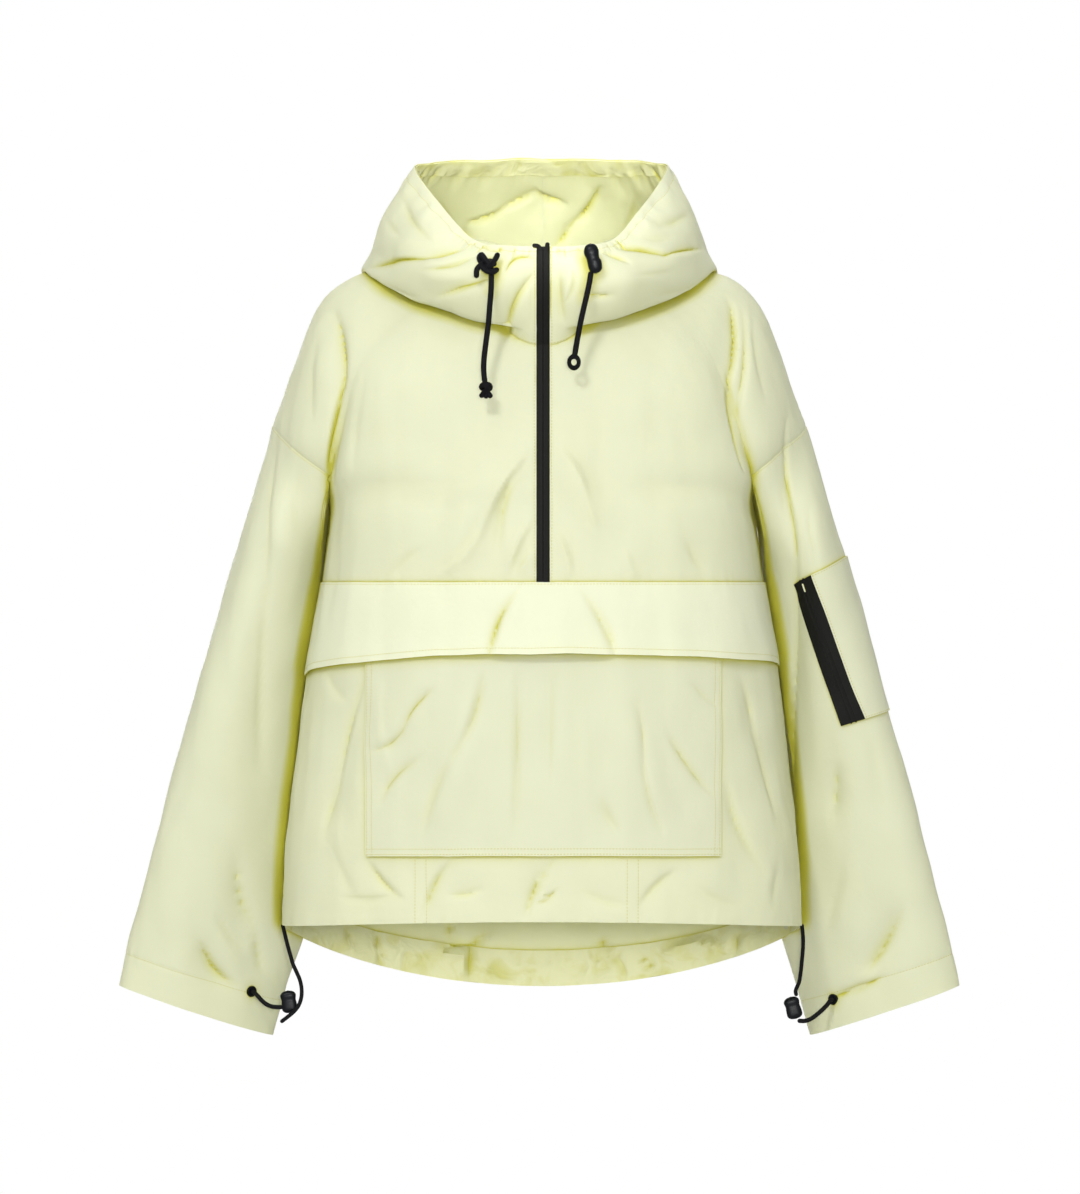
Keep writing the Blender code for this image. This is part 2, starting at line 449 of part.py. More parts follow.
def build_skin():
    """Every grid of the skin by name, with its outward normals, creases put in."""
    lower = [HEM, HEM_CASING, POCKET_FOOT, -0.513, -0.477, -0.441, -0.405, -0.372, -0.343, -0.318, CHEST_SEAM]
    middle = [CHEST_SEAM, -0.249, ARMPIT]
    armhole_rows = [ARMPIT, -0.205, -0.195, ARMHOLE]
    yoke = [ARMHOLE, -0.1675, -0.150, -0.1325, -0.115, -0.0975, -0.080, -0.0650, NECK]
    upper = middle + armhole_rows[1:] + yoke[1:]
    along = [0, 0.035, 0.08, 0.13, 0.19, SLEEVE_POCKET[0], 0.31, 0.36, 0.41, 0.46, SLEEVE_POCKET[1], 0.56, 0.62,
             0.68, 0.74, 0.80, 0.86, 0.91, 0.955, 1.0]
    heights = [0.0, 0.05, 0.12, 0.20, 0.30, 0.38, 0.50, 0.60, 0.69, 0.78, 0.86, HOOD_CASING, 1.0]

    half = {
        "front_lower": front_half(lower),
        "front_upper": front_half(upper),
        "cap_front": arm_cap(yoke, back=False),
        "cap_back": arm_cap(yoke, back=True),
        "back": back_half(lower + upper[1:]),
    }
    first = len(upper) - len(yoke)
    armpit_row = len(middle) - 1
    armhole = np.vstack([
        half["front_upper"][armpit_row:first, -1],
        half["cap_front"][0, :-1],
        half["cap_back"][0],
        half["back"][len(lower) - 1 + armpit_row:len(lower) - 1 + first, 0][::-1],
    ])
    caps = np.hstack([half["cap_front"][:2, :-1], half["cap_back"][:2]])
    fall = caps[0] - caps[1]
    onward = np.tile(np.array(SLEEVE_AXIS), (len(armhole), 1))
    below = first - armpit_row  # rows of the torso's edge between the armpit and the shoulder's fold
    onward[below:below + len(fall)] = fall / np.linalg.norm(fall, axis=1, keepdims=True)
    half["sleeve"] = sleeve_grid(armhole, onward, along)[::-1]
    neck = np.vstack([half["front_upper"][-1, 1:], half["cap_front"][-1, 1:], half["cap_back"][-1, 1:],
                      half["back"][-1, 1:]])
    half["hood"] = hood_half(neck, heights)
    centre = half["front_upper"][:, 0:2]
    collar = half["hood"][:, 0]
    middle_line = collar * np.array((0.0, 1.0, 1.0))
    half["zip"] = np.vstack([centre, np.stack([middle_line, collar], axis=1)[1:]])

    skin = {}
    for name, grid in half.items():
        skin[name + ".left"] = grid
        skin[name + ".right"] = mirror(grid)
    points, faces, index = merged(skin.values())
    smooth = normals_of(points, faces)
    points = points + smooth * crease_height(points, smooth)[:, None]
    points = gathered(points, index, skin)
    begin = np.interp(points[:, 2], (-0.25, -0.12), (0.235, 0.08))  # beyond the torso, and over the whole shoulder
    points[:, 0] -= SWAY * np.clip((np.abs(points[:, 0]) - begin) / 0.08, 0, 1)
    normals = normals_of(points, faces)
    offset = 0
    for name, grid in skin.items():
        count = grid.shape[0] * grid.shape[1]
        own = index[offset:offset + count]
        skin[name] = (points[own].reshape(grid.shape), normals[own].reshape(grid.shape))
        offset += count
    return skin


def gathered(points, index, skin):
    """Waves of the hood's gathered casing, even in number and uneven in depth."""
    offset = 0
    moved = points.copy()
    for name, grid in skin.items():
        rows, columns = grid.shape[:2]
        if name.startswith("hood"):
            own = index[offset:offset + rows * columns].reshape(rows, columns)
            turn = np.linspace(0, 1, columns)
            wave = np.sin(2 * math.pi * GATHERS["count"] * turn) * (0.65 + 0.35 * np.sin(9.0 * turn + 1.0))
            calm = np.sin(math.pi * turn) ** 0.5
            outward = points[own[-2]] - points[own[-2]].mean(axis=0)
            outward /= np.linalg.norm(outward, axis=1, keepdims=True)
            moved[own[-2]] = points[own[-2]] + outward * (GATHERS["depth"] * wave * calm)[:, None]
        offset += rows * columns
    return moved


def wall(name, grids, material, offset=0.0, thickness=CLOTH, pull=GAP / 2):
    """Closed wall about a surface given as grids of points and normals, drawn back a little at its edge."""
    points, faces, _ = merged([grid for grid, _ in grids])
    all_points = np.vstack([grid.reshape(-1, 3) for grid, _ in grids])
    all_normals = np.vstack([normal.reshape(-1, 3) for _, normal in grids])
    _, first = np.unique(np.round(all_points, 6), axis=0, return_index=True)
    normals = all_normals[first]
    edges = {}
    for face in faces:
        corners = [c for n, c in enumerate(face) if c != face[n - 1]]
        for n, corner in enumerate(corners):
            edges[(corners[n - 1], corner)] = corners
    border = [(edge, face) for edge, face in edges.items() if (edge[1], edge[0]) not in edges]
    inward = {}
    for (a, b), face in border:
        along = Vector(points[b] - points[a]).normalized()
        to_middle = Vector(points[face].mean(axis=0) - (points[a] + points[b]) / 2)
        across = (to_middle - along * to_middle.dot(along)).normalized()
        inward.setdefault(a, []).append(across)
        inward.setdefault(b, []).append(across)
    body = points + normals * offset
    for corner, ways in inward.items():
        total = sum(ways, Vector((0, 0, 0)))
        if len(ways) > 1:
            total = total / max(1 + ways[0].dot(ways[1]), 0.5)
        body[corner] += np.array(total) * pull
    half = thickness / 2
    mesh = bmesh.new()
    outer = [mesh.verts.new(p) for p in body + normals * half]
    inner = [mesh.verts.new(p) for p in body - normals * half]
    for face in faces:
        for split in ((0, 1, 2), (0, 2, 3)):  # every layer is split along the same diagonal, so layers stay apart
            corners = [face[n] for n in split]
            if len(set(corners)) == 3:
                mesh.faces.new([outer[c] for c in corners])
                mesh.faces.new([inner[c] for c in reversed(corners)])
    for (a, b), _ in border:
        mesh.faces.new([outer[b], outer[a], inner[a], inner[b]])
    add_mesh(name, mesh, material)


def add_mesh(name, mesh, material):
    bmesh.ops.recalc_face_normals(mesh, faces=mesh.faces)
    data = bpy.data.meshes.new(name)
    mesh.to_mesh(data)
    mesh.free()
    data.shade_smooth()
    data.materials.append(material)
    piece = bpy.data.objects.new(name, data)
    collection.objects.link(piece)


def make_material(name, colour, roughness):
    material = bpy.data.materials.new(name)
    material.use_nodes = True
    shader = material.node_tree.nodes["Principled BSDF"]
    shader.inputs["Base Color"].default_value = (*colour, 1.0)
    shader.inputs["Roughness"].default_value = roughness
    shader.inputs["Metallic"].default_value = 0.0
    return material


def part_of(sheet, rows=slice(None), columns=slice(None)):
    grid, normal = sheet
    return grid[rows, columns], normal[rows, columns]


def cloth_panels(skin):
    """Fronts, back, sleeves and hood halves."""
    for side in ("right", "left"):
        inner = slice(1, None) if side == "left" else slice(None, -1)
        wall(f"front_upper_{side}", [part_of(skin[f"front_upper.{side}"], columns=inner), skin[f"cap_front.{side}"]],
             shell)
        wall(f"sleeve_{side}", [skin[f"sleeve.{side}"]], shell)
        wall(f"hood_{side}", [skin[f"hood.{side}"]], shell)
    wall("front_lower", [skin["front_lower.left"], skin["front_lower.right"]], shell)
    wall("back", [skin[f"{name}.{side}"] for side in ("left", "right") for name in ("back", "cap_back")], shell)


def sewn_on(skin):
    """What lies on the panels: pocket, flap, casings and the sleeve pocket."""
    front = {side: front_sheet(skin, side) for side in ("left", "right")}
    columns = front["left"][0].shape[1]
    to_pocket = {"left": slice(0, columns - 3), "right": slice(3, None)}
    pocket_rows = slice(2, 11)
    wall("front_pocket", [part_of(front[side], pocket_rows, to_pocket[side]) for side in front], shell, offset=LAYER)
    wall("chest_flap", [flap_sheet(front[side], side) for side in front], shell)
    rim = slice(-2, None)
    wall("hood_casing", [part_of(skin[f"hood.{side}"], rim) for side in front], shell, offset=-LAYER)
    wall("back_hem_casing", [part_of(skin[f"back.{side}"], slice(0, 2)) for side in front], shell, offset=-LAYER)
    rows = slice(9, 15)  # from the pocket's foot up to its top
    patch = part_of(skin["sleeve.left"], rows, slice(7, 13))
    wall("sleeve_pocket", [patch], shell, offset=LAYER)
    zipper = part_of(skin["sleeve.left"], rows, slice(6, 8))
    wall("sleeve_zip", [zipper], black_zip, offset=LAYER)


def front_sheet(skin, side):
    """The lower front with one more row, at the pocket's upper edge."""
    grid, normal = skin[f"front_lower.{side}"]
    share = (POCKET_TOP - CHEST_SEAM) / (-0.318 - CHEST_SEAM)
    edge = grid[-1] + share * (grid[-2] - grid[-1])
    tilt = normal[-1] + share * (normal[-2] - normal[-1])
    return np.insert(grid, -1, edge, axis=0), np.insert(normal, -1, tilt, axis=0)


def flap_sheet(front, side):
    """The flap: the front from the chest seam down to the flap's edge, standing further off as it falls."""
    grid, normal = front
    level = grid[:, 0 if side == "left" else -1, 2]
    drop = FLAP["drop_left"] if side == "left" else FLAP["drop_right"]
    count = grid.shape[1]
    spread = np.linspace(0, 1, count) if side == "left" else np.linspace(1, 0, count)
    rows, normals = [], []
    for share, off in zip(FLAP["rows"], FLAP["off"]):
        edge = FLAP["lower_edge"] - drop * spread ** 2.2
        height = CHEST_SEAM - GAP + share * (edge - CHEST_SEAM)
        order = np.argsort(level)
        column = np.arange(count)
        at = np.interp(height, level[order], order.astype(float))
        low = np.clip(np.floor(at).astype(int), 0, len(level) - 2)
        mix = (at - low)[:, None]
        point = (1 - mix) * grid[low, column] + mix * grid[low + 1, column]
        facing = (1 - mix) * normal[low, column] + mix * normal[low + 1, column]
        facing /= np.linalg.norm(facing, axis=1, keepdims=True)
        bulge = FLAP["centre_bulge"] * share * np.exp(-(point[:, 0] / (0.030 + 0.035 * share)) ** 4)
        stand = LAYER + (off - LAYER) * (1 - spread ** 3)
        rows.append(point + facing * (stand + bulge)[:, None])
        normals.append(facing)
    return np.array(rows[::-1]), np.array(normals[::-1])


def front_zip(skin):
    wall("front_zip", [skin["zip.left"], skin["zip.right"]], black_zip, thickness=0.0018)


def eyelet(name, sheet, place):
    """Ring that lies on the cloth round the cord's hole, in front of this place."""
    points, faces, _ = merged([sheet[0]])
    cloth = BVHTree.FromPolygons([Vector(p) for p in points], [list(dict.fromkeys(face)) for face in faces.tolist()])
    middle, normal, _, _ = cloth.ray_cast(Vector((place[0], -1.0, place[1])), Vector((0, 1, 0)))
    normal = normal if normal.y < 0 else -normal
    across = normal.cross(Vector((0, 0, 1))).normalized()
    up = across.cross(normal)
    ring = []
    for turn in np.linspace(0, 2 * math.pi, 14, endpoint=False):
        out = across * math.cos(turn) + up * math.sin(turn)
        base, facing, _, _ = cloth.find_nearest(middle + out * EYELET["ring"])
        facing = facing if facing.dot(normal) > 0 else -facing
        centre = base + facing * (CLOTH / 2 + 2 * GAP + EYELET["wire"])
        ring.append([centre + (out * math.cos(a) + normal * math.sin(a)) * EYELET["wire"]
                     for a in np.linspace(0, 2 * math.pi, 6, endpoint=False)])
    mesh = bmesh.new()
    loops = [[mesh.verts.new(p) for p in loop] for loop in ring]
    for n, loop in enumerate(loops):
        after = loops[(n + 1) % len(loops)]
        for m in range(6):
            mesh.faces.new([loop[m], loop[(m + 1) % 6], after[(m + 1) % 6], after[m]])
    add_mesh(name, mesh, black_trim)


def settle(piece, name, material):
    """Name, material and collection of a primitive, with its place put into its mesh."""
    piece.name = piece.data.name = name
    piece.data.transform(piece.matrix_world)
    piece.matrix_world = Matrix.Identity(4)
    piece.data.materials.clear()
    piece.data.materials.append(material)
    piece.data.shade_smooth()
    for other in piece.users_collection:
        other.objects.unlink(piece)
    collection.objects.link(piece)


def smooth_route(points, spacing):
    """Points a few diameters apart on one smooth curve through the route's own points."""
    points = np.array(points)
    run = np.concatenate([[0], np.cumsum(np.linalg.norm(np.diff(points, axis=0), axis=1))])
    count = max(6, int(round(run[-1] / spacing)) + 1)
    return through(run, points, np.linspace(0, run[-1], count))


def cord(name, route, diameter):
    curve = bpy.data.curves.new(name, "CURVE")
    curve.dimensions = "3D"
    curve.bevel_depth = diameter / 2
    curve.bevel_resolution = 2
    curve.use_fill_caps = True
    spline = curve.splines.new("POLY")
    path = smooth_route(route, 2.2 * diameter)
    spline.points.add(len(path) - 1)
    for point, place in zip(spline.points, path):
        point.co = (*place, 1.0)
    curve.materials.append(black_trim)
    collection.objects.link(bpy.data.objects.new(name, curve))


def knot(name, middle, size, lobes):
    """Knot: an oval ball whose skin swells toward each lobe."""
    bpy.ops.mesh.primitive_uv_sphere_add(segments=14, ring_count=9, radius=1.0)
    ball = bpy.context.object
    for vertex in ball.data.vertices:
        way = vertex.co.normalized()
        swell = sum(height * math.exp(-((way.angle(Vector(toward))) / 0.5) ** 2) for toward, height in lobes)
        vertex.co = Vector(way[i] * size[i] * (1 + swell) for i in range(3))
    ball.location = middle
    bpy.context.view_layer.update()
    settle(ball, name, black_trim)


def block(name, middle, form, lean):
    """Stopper or lock: a block with rounded edges, leaning in the plane of the front."""
    bpy.ops.mesh.primitive_cube_add(size=1.0)
    piece = bpy.context.object
    piece.matrix_world = (Matrix.Translation(middle) @ Matrix.Rotation(math.radians(lean), 4, "Y")
                          @ Matrix.Diagonal((form["width"], form["depth"], form["height"], 1.0)))
    settle(piece, name, black_trim)
    rounded = piece.modifiers.new("rounded", "BEVEL")
    rounded.width = form["bevel"]
    rounded.segments = 2


def hood_trim(skin):
    """Drawcords of the hood: knotted on the wearer's right, with a lock and an end ring on the left."""
    for side, place in (("right", HOOD_KNOT), ("left", HOOD_LOCK)):
        eyelet(f"hood_eyelet_{side}", skin[f"hood.{side}"], (place[0], place[2]))
    knot("hood_knot_right", HOOD_KNOT, (0.0092, 0.0068, 0.0105),
         [((-0.5, 0, 0.85), 0.45), ((0.75, 0, 0.75), 0.40), ((-0.95, 0, -0.35), 0.55)])
    cord("hood_cord_right", RIGHT_HOOD_ROUTE, HOOD_CORD)
    knot("hood_cord_end_right", END_KNOT, (0.0066, 0.0056, 0.0084),
         [((1, 0, 0.55), 0.25), ((0.9, 0, -0.75), 0.35), ((-0.9, 0, -0.7), 0.30)])
    block("hood_lock_left", HOOD_LOCK, LOCK, LOCK["lean"])
    cord("hood_cord_left", LEFT_HOOD_ROUTE, HOOD_CORD)
    bpy.ops.mesh.primitive_torus_add(major_radius=0.0050, minor_radius=0.0022, major_segments=18, minor_segments=8)
    ring = bpy.context.object
    ring.matrix_world = Matrix.Translation(END_RING) @ Matrix.Rotation(math.radians(90), 4, "X")
    settle(ring, "hood_cord_ring_left", black_trim)


def side_trim(skin, side):
    """The cuff's eyelet, its cord, the hem's cord at the side seam, and the stopper in which both end."""
    eyelet(f"cuff_eyelet_{side}", skin[f"sleeve.{side}"], CUFF_EYELETS[side])
    middle, lean = STOPPERS[side]
    block(f"stopper_{side}", middle, STOPPER, lean)
    cord(f"cuff_cord_{side}", CUFF_ROUTES[side], CUFF_CORD)
    cord(f"hem_cord_{side}", HEM_ROUTES[side], HEM_CORD)


def main():
    skin = build_skin()
    cloth_panels(skin)
    sewn_on(skin)
    front_zip(skin)
    hood_trim(skin)
    for side in ("right", "left"):
        side_trim(skin, side)


for old in list(bpy.data.objects):
    bpy.data.objects.remove(old)
collection = bpy.data.collections.new("anorak_pullover")
bpy.context.scene.collection.children.link(collection)
shell = make_material("lemon_shell_cloth", (0.80, 0.82, 0.55), 0.62)
black_zip = make_material("black_zip", (0.012, 0.012, 0.012), 0.55)
black_trim = make_material("black_trim", (0.010, 0.011, 0.011), 0.60)
main()
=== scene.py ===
import math

import bpy
import numpy as np
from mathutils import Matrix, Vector
from mathutils.bvhtree import BVHTree


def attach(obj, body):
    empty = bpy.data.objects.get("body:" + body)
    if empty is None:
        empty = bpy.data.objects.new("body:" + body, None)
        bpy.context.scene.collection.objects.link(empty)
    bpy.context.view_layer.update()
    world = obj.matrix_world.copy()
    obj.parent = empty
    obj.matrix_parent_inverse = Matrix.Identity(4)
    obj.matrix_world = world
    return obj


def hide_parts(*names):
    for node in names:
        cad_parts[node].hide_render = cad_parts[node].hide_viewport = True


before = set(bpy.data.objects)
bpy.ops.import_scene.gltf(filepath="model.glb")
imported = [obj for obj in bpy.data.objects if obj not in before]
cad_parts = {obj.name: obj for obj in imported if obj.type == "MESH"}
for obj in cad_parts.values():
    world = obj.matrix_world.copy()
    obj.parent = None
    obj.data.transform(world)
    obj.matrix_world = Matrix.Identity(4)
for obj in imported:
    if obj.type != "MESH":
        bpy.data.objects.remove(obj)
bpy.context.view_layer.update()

# Anorak pullover of thin lemon shell cloth, hollow, as if a wearer filled it.  Metres; +X is the wearer's
# left, -Y the front, +Z up.  All cloth is one skin of rings from the hem to the hood's rim, with two sleeves;
# each cut piece is a thin shell on its share of the skin, and what is sewn on top is the same skin moved out.
mm = 0.001
sides = ("Left", "Right")
print("frame loaded,", len(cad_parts), "nodes")

view = dict(distance=6.0, x=-0.003, z=-0.297, width=1.080, sensor=36.0)


def setCamera():
    # level and long: focal length = sensor width x distance / width seen at the garment's middle
    data = bpy.data.cameras.new("camera")
    data.sensor_fit = "HORIZONTAL"
    data.sensor_width = view["sensor"]
    data.lens = view["sensor"] * view["distance"] / view["width"]
    camera = bpy.data.objects.new("camera", data)
    camera.location = (view["x"], -view["distance"], view["z"])
    camera.rotation_euler = (math.radians(90), 0, 0)
    bpy.context.scene.collection.objects.link(camera)
    bpy.context.scene.camera = camera


setCamera()


# Curves and grids that every piece is made with

def through(knots, values, at, held=False):
    # cubic through rows of values: each span blends its end values and slopes; held gives a peak no slope and
    # any other knot the harmonic mean of its neighbours' slopes, so that the curve never passes a row
    knots, values, at = np.asarray(knots, float), np.asarray(values, float), np.asarray(at, float)
    step = np.diff(knots)[:, None]
    rise = np.diff(values, axis=0) / step
    inner = (rise[:-1] * step[1:] + rise[1:] * step[:-1]) / (step[1:] + step[:-1])
    slope = np.vstack([rise[:1], inner, rise[-1:]])
    if held:
        before, after = rise[:-1], rise[1:]
        same = before * after > 0
        slope[1:-1] = np.where(same, 2 * before * after / np.where(same, before + after, 1.0), 0.0)
    i = np.clip(np.searchsorted(knots, at) - 1, 0, len(knots) - 2)
    u = ((at - knots[i]) / step[i, 0])[:, None]
    h = step[i]
    return ((1 + 2 * u) * (1 - u) ** 2 * values[i] + u * (1 - u) ** 2 * h * slope[i]
            + u * u * (3 - 2 * u) * values[i + 1] + u * u * (u - 1) * h * slope[i + 1])


def readTable(table, columns, at):
    # columns of a table as named arrays, on held cubics of its first column
    rows = np.array(table, float)
    return dict(zip(columns[1:], through(rows[:, 0], rows[:, 1:], at, held=True).T))


def bezierArcs(p0, p1, p2, p3, t):
    # cubic arcs, one for each row of end and handle points, at that row's parameters
    t = t[..., None]
    p0, p1, p2, p3 = (p[:, None, :] for p in (p0, p1, p2, p3))
    return p0 * (1 - t) ** 3 + 3 * p1 * t * (1 - t) ** 2 + 3 * p2 * t * t * (1 - t) + p3 * t ** 3


def stacked(*parts):
    return np.stack(np.broadcast_arrays(*parts), axis=-1)


def spaced(stops, step):
    # numbers from the first stop to the last, no more than a step apart, each stop among them
    counts = [max(1, math.ceil(abs(b - a) / step - 1e-6)) for a, b in zip(stops, stops[1:])]
    spans = [np.linspace(a, b, count + 1)[:-1] for a, b, count in zip(stops, stops[1:], counts)]
    return np.append(np.concatenate(spans), stops[-1])


def fullTurn(steps):
    # angles all round, with the last one exactly the first
    return np.append(np.linspace(0, 2 * math.pi, steps + 1)[:-1], 0.0)


def nearest(values, target):
    return int(np.argmin(np.abs(values - target)))


def gridFaces(rows, columns):
    first = (np.arange(rows - 1)[:, None] * columns + np.arange(columns - 1)).ravel()
    return np.stack([first, first + 1, first + columns + 1, first + columns], axis=1)


def mergeGrids(grids):
    # one list of points and quads from grids that share edges, each quad's corners in the grids, and the
    # index of each grid point with its first place
    points = np.vstack([grid.reshape(-1, 3) for grid in grids])
    starts = np.cumsum([0] + [grid.shape[0] * grid.shape[1] for grid in grids])
    corners = np.vstack([gridFaces(*grid.shape[:2]) + start for grid, start in zip(grids, starts)])
    _, first, index = np.unique(np.round(points, 6), axis=0, return_index=True, return_inverse=True)
    index = index.reshape(-1)
    return points[first], index[corners], corners, index, first


def pointNormals(points, faces):
    # each point's normal: the sum of its quads' normals by area, at length one
    quad = points[faces]
    normal = np.cross(quad[:, 2] - quad[:, 0], quad[:, 3] - quad[:, 1])
    at = faces.ravel()
    total = np.stack([np.bincount(at, np.repeat(normal[:, k], 4), len(points)) for k in range(3)], axis=1)
    return total / np.maximum(np.linalg.norm(total, axis=1, keepdims=True), 1e-12)


def mirrorGrid(grid):
    return grid[:, ::-1] * np.array((-1.0, 1.0, 1.0))


def runLength(points, axis):
    # length walked along a grid's rows or columns, from its first point
    steps = np.linalg.norm(np.diff(points, axis=axis), axis=-1)
    return np.insert(np.cumsum(steps, axis=axis), 0, 0.0, axis=axis)


def smoothRoute(route, spacing):
    # evenly spaced points on the cubic through a route's own points
    route = np.array(route)
    run = runLength(route, 0)
    dense = through(run, route, np.linspace(0, run[-1], 40 * len(route)))
    length = runLength(dense, 0)
    count = max(8, int(round(length[-1] / spacing)) + 1)
    even = np.linspace(0, length[-1], count)
    return np.stack([np.interp(even, length, dense[:, k]) for k in range(3)], axis=1)


# Meshes

def addMesh(name, points, faces, uv, material, slot=None, replaces=(), sharp=38):
    # faces of four corners, of which two may be one point; uv holds a place in metres for every corner
    doubled = faces == np.roll(faces, 1, axis=1)
    whole = ~doubled.any(axis=1)
    order = np.concatenate([np.flatnonzero(whole), np.flatnonzero(doubled.sum(axis=1) == 1)])
    keep = ~doubled[order]
    sizes = keep.sum(axis=1)
    mesh = bpy.data.meshes.new(name)
    mesh.vertices.add(len(points))
    mesh.vertices.foreach_set("co", np.ascontiguousarray(points, np.float32).ravel())
    mesh.loops.add(int(sizes.sum()))
    mesh.loops.foreach_set("vertex_index", faces[order][keep].astype(np.int32))
    mesh.polygons.add(len(order))
    mesh.polygons.foreach_set("loop_start", (np.cumsum(sizes) - sizes).astype(np.int32))
    layer = mesh.uv_layers.new(name="cloth")
    layer.data.foreach_set("uv", np.ascontiguousarray(uv[order][keep], np.float32).ravel())
    mesh.update(calc_edges=True)
    mesh.validate()
    mesh.shade_smooth()
    mesh.set_sharp_from_angle(angle=math.radians(sharp))
    mesh.materials.append(material)
    piece = bpy.data.objects.new(name, mesh)
    bpy.context.scene.collection.objects.link(piece)
    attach(piece, "root")
    if replaces:
        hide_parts(*replaces)
    return piece


def gridUv(points):
    # a grid's own cloth coordinates: length walked across and along it
    return np.stack([runLength(points, 1), runLength(points, 0)], axis=-1)


def surfaceMesh(grids):
    # points, faces and corner coordinates of closed grids, such as tubes and turned forms
    points, faces, corners, _, _ = mergeGrids(grids)
    uv = np.vstack([gridUv(grid).reshape(-1, 2) for grid in grids])
    return points, faces, uv[corners]


def tubeGrid(path, radius, steps=12, flat=1.0):
    # a circle carried along the path, square to it, with rounded ends: each ring is the path's point plus
    # radius times cosine and sine of the turn on two axes; flat squeezes it toward the back
    path = np.asarray(path, float)
    radius = np.broadcast_to(radius, len(path)).astype(float)
    tangent = np.gradient(path, axis=0)
    tangent /= np.linalg.norm(tangent, axis=1, keepdims=True)
    swing = np.radians((90, 62, 34, 12))
    head = path[0] - tangent[0] * radius[0] * np.sin(swing)[:, None]
    tail = path[-1] + tangent[-1] * radius[-1] * np.sin(swing[::-1])[:, None]
    rings = np.vstack([head, path, tail])
    wide = np.concatenate([radius[0] * np.cos(swing), radius, radius[-1] * np.cos(swing[::-1])])
    tangent = np.vstack([np.repeat(tangent[:1], 4, axis=0), tangent, np.repeat(tangent[-1:], 4, axis=0)])
    aside = np.cross(tangent, (0.04, 1.0, 0.02))
    aside /= np.linalg.norm(aside, axis=1, keepdims=True)
    ahead = np.cross(aside, tangent)
    turn = fullTurn(steps)[None, :, None]
    wide = wide[:, None, None]
    return rings[:, None] + wide * (np.cos(turn) * aside[:, None] + flat * np.sin(turn) * ahead[:, None])


# Finishes

def plug(tree, socket, value):
    # a socket takes a value, or a link where the value is another node's socket
    if isinstance(value, bpy.types.NodeSocket):
        tree.links.new(value, socket)
    else:
        socket.default_value = value


def shaderTree(name, **settings):
    material = bpy.data.materials.new(name)
    material.use_nodes = True
    tree = material.node_tree
    shader = tree.nodes["Principled BSDF"]
    for key, value in settings.items():
        plug(tree, shader.inputs[key.replace("_", " ")], value)
    return material, tree, shader


def addNode(tree, kind, **settings):
    node = tree.nodes.new("ShaderNode" + kind)
    for key, value in settings.items():
        if hasattr(node, key):
            setattr(node, key, value)
        else:
            plug(tree, node.inputs[key], value)
    return node


def maths(tree, operation, *values, clamp=False):
    node = tree.nodes.new("ShaderNodeMath")
    node.operation, node.use_clamp = operation, clamp
    for socket, value in zip(node.inputs, values):
        plug(tree, socket, value)
    return node.outputs[0]


def mixColours(tree, share, first, second):
    # colours are three numbers or another node's socket
    mix = addNode(tree, "Mix", data_type="RGBA")
    for k, value in zip((0, 6, 7), (share, first, second)):
        plug(tree, mix.inputs[k], (*value, 1) if isinstance(value, tuple) else value)
    return mix.outputs[2]


def mixShaders(tree, share, first, second):
    mix = addNode(tree, "MixShader")
    for socket, value in zip(mix.inputs, (share, first, second)):
        plug(tree, socket, value)
    return mix.outputs[0]


def wovenBump(tree, pitch, place):
    # a plain weave: the product of two sines, one across the warp and one across the weft
    parts = addNode(tree, "SeparateXYZ", Vector=place)
    waves = [maths(tree, "SINE", maths(tree, "MULTIPLY", parts.outputs[k], math.pi / pitch)) for k in (0, 1)]
    return maths(tree, "MULTIPLY", *waves)


# the deeper yellow fold colour, with its reach, gain and clear, is painted shade in folds and overlaps
clothFinish = dict(colour=(0.840, 0.868, 0.680), shade=(0.800, 0.826, 0.590), roughness=0.50, sheen=0.08,
                   through=(0.900, 0.922, 0.640), passing=0.34, fold=(0.70, 0.68, 0.08), reach=14 * mm,
                   tint=2.9, clear=0.07, pitch=0.45 * mm, weaveDepth=0.05 * mm, crumple=9.0 * mm,
                   crumpleDepth=0.7 * mm, slub=(900.0, 150.0), slubShare=0.55, cloud=0.055)


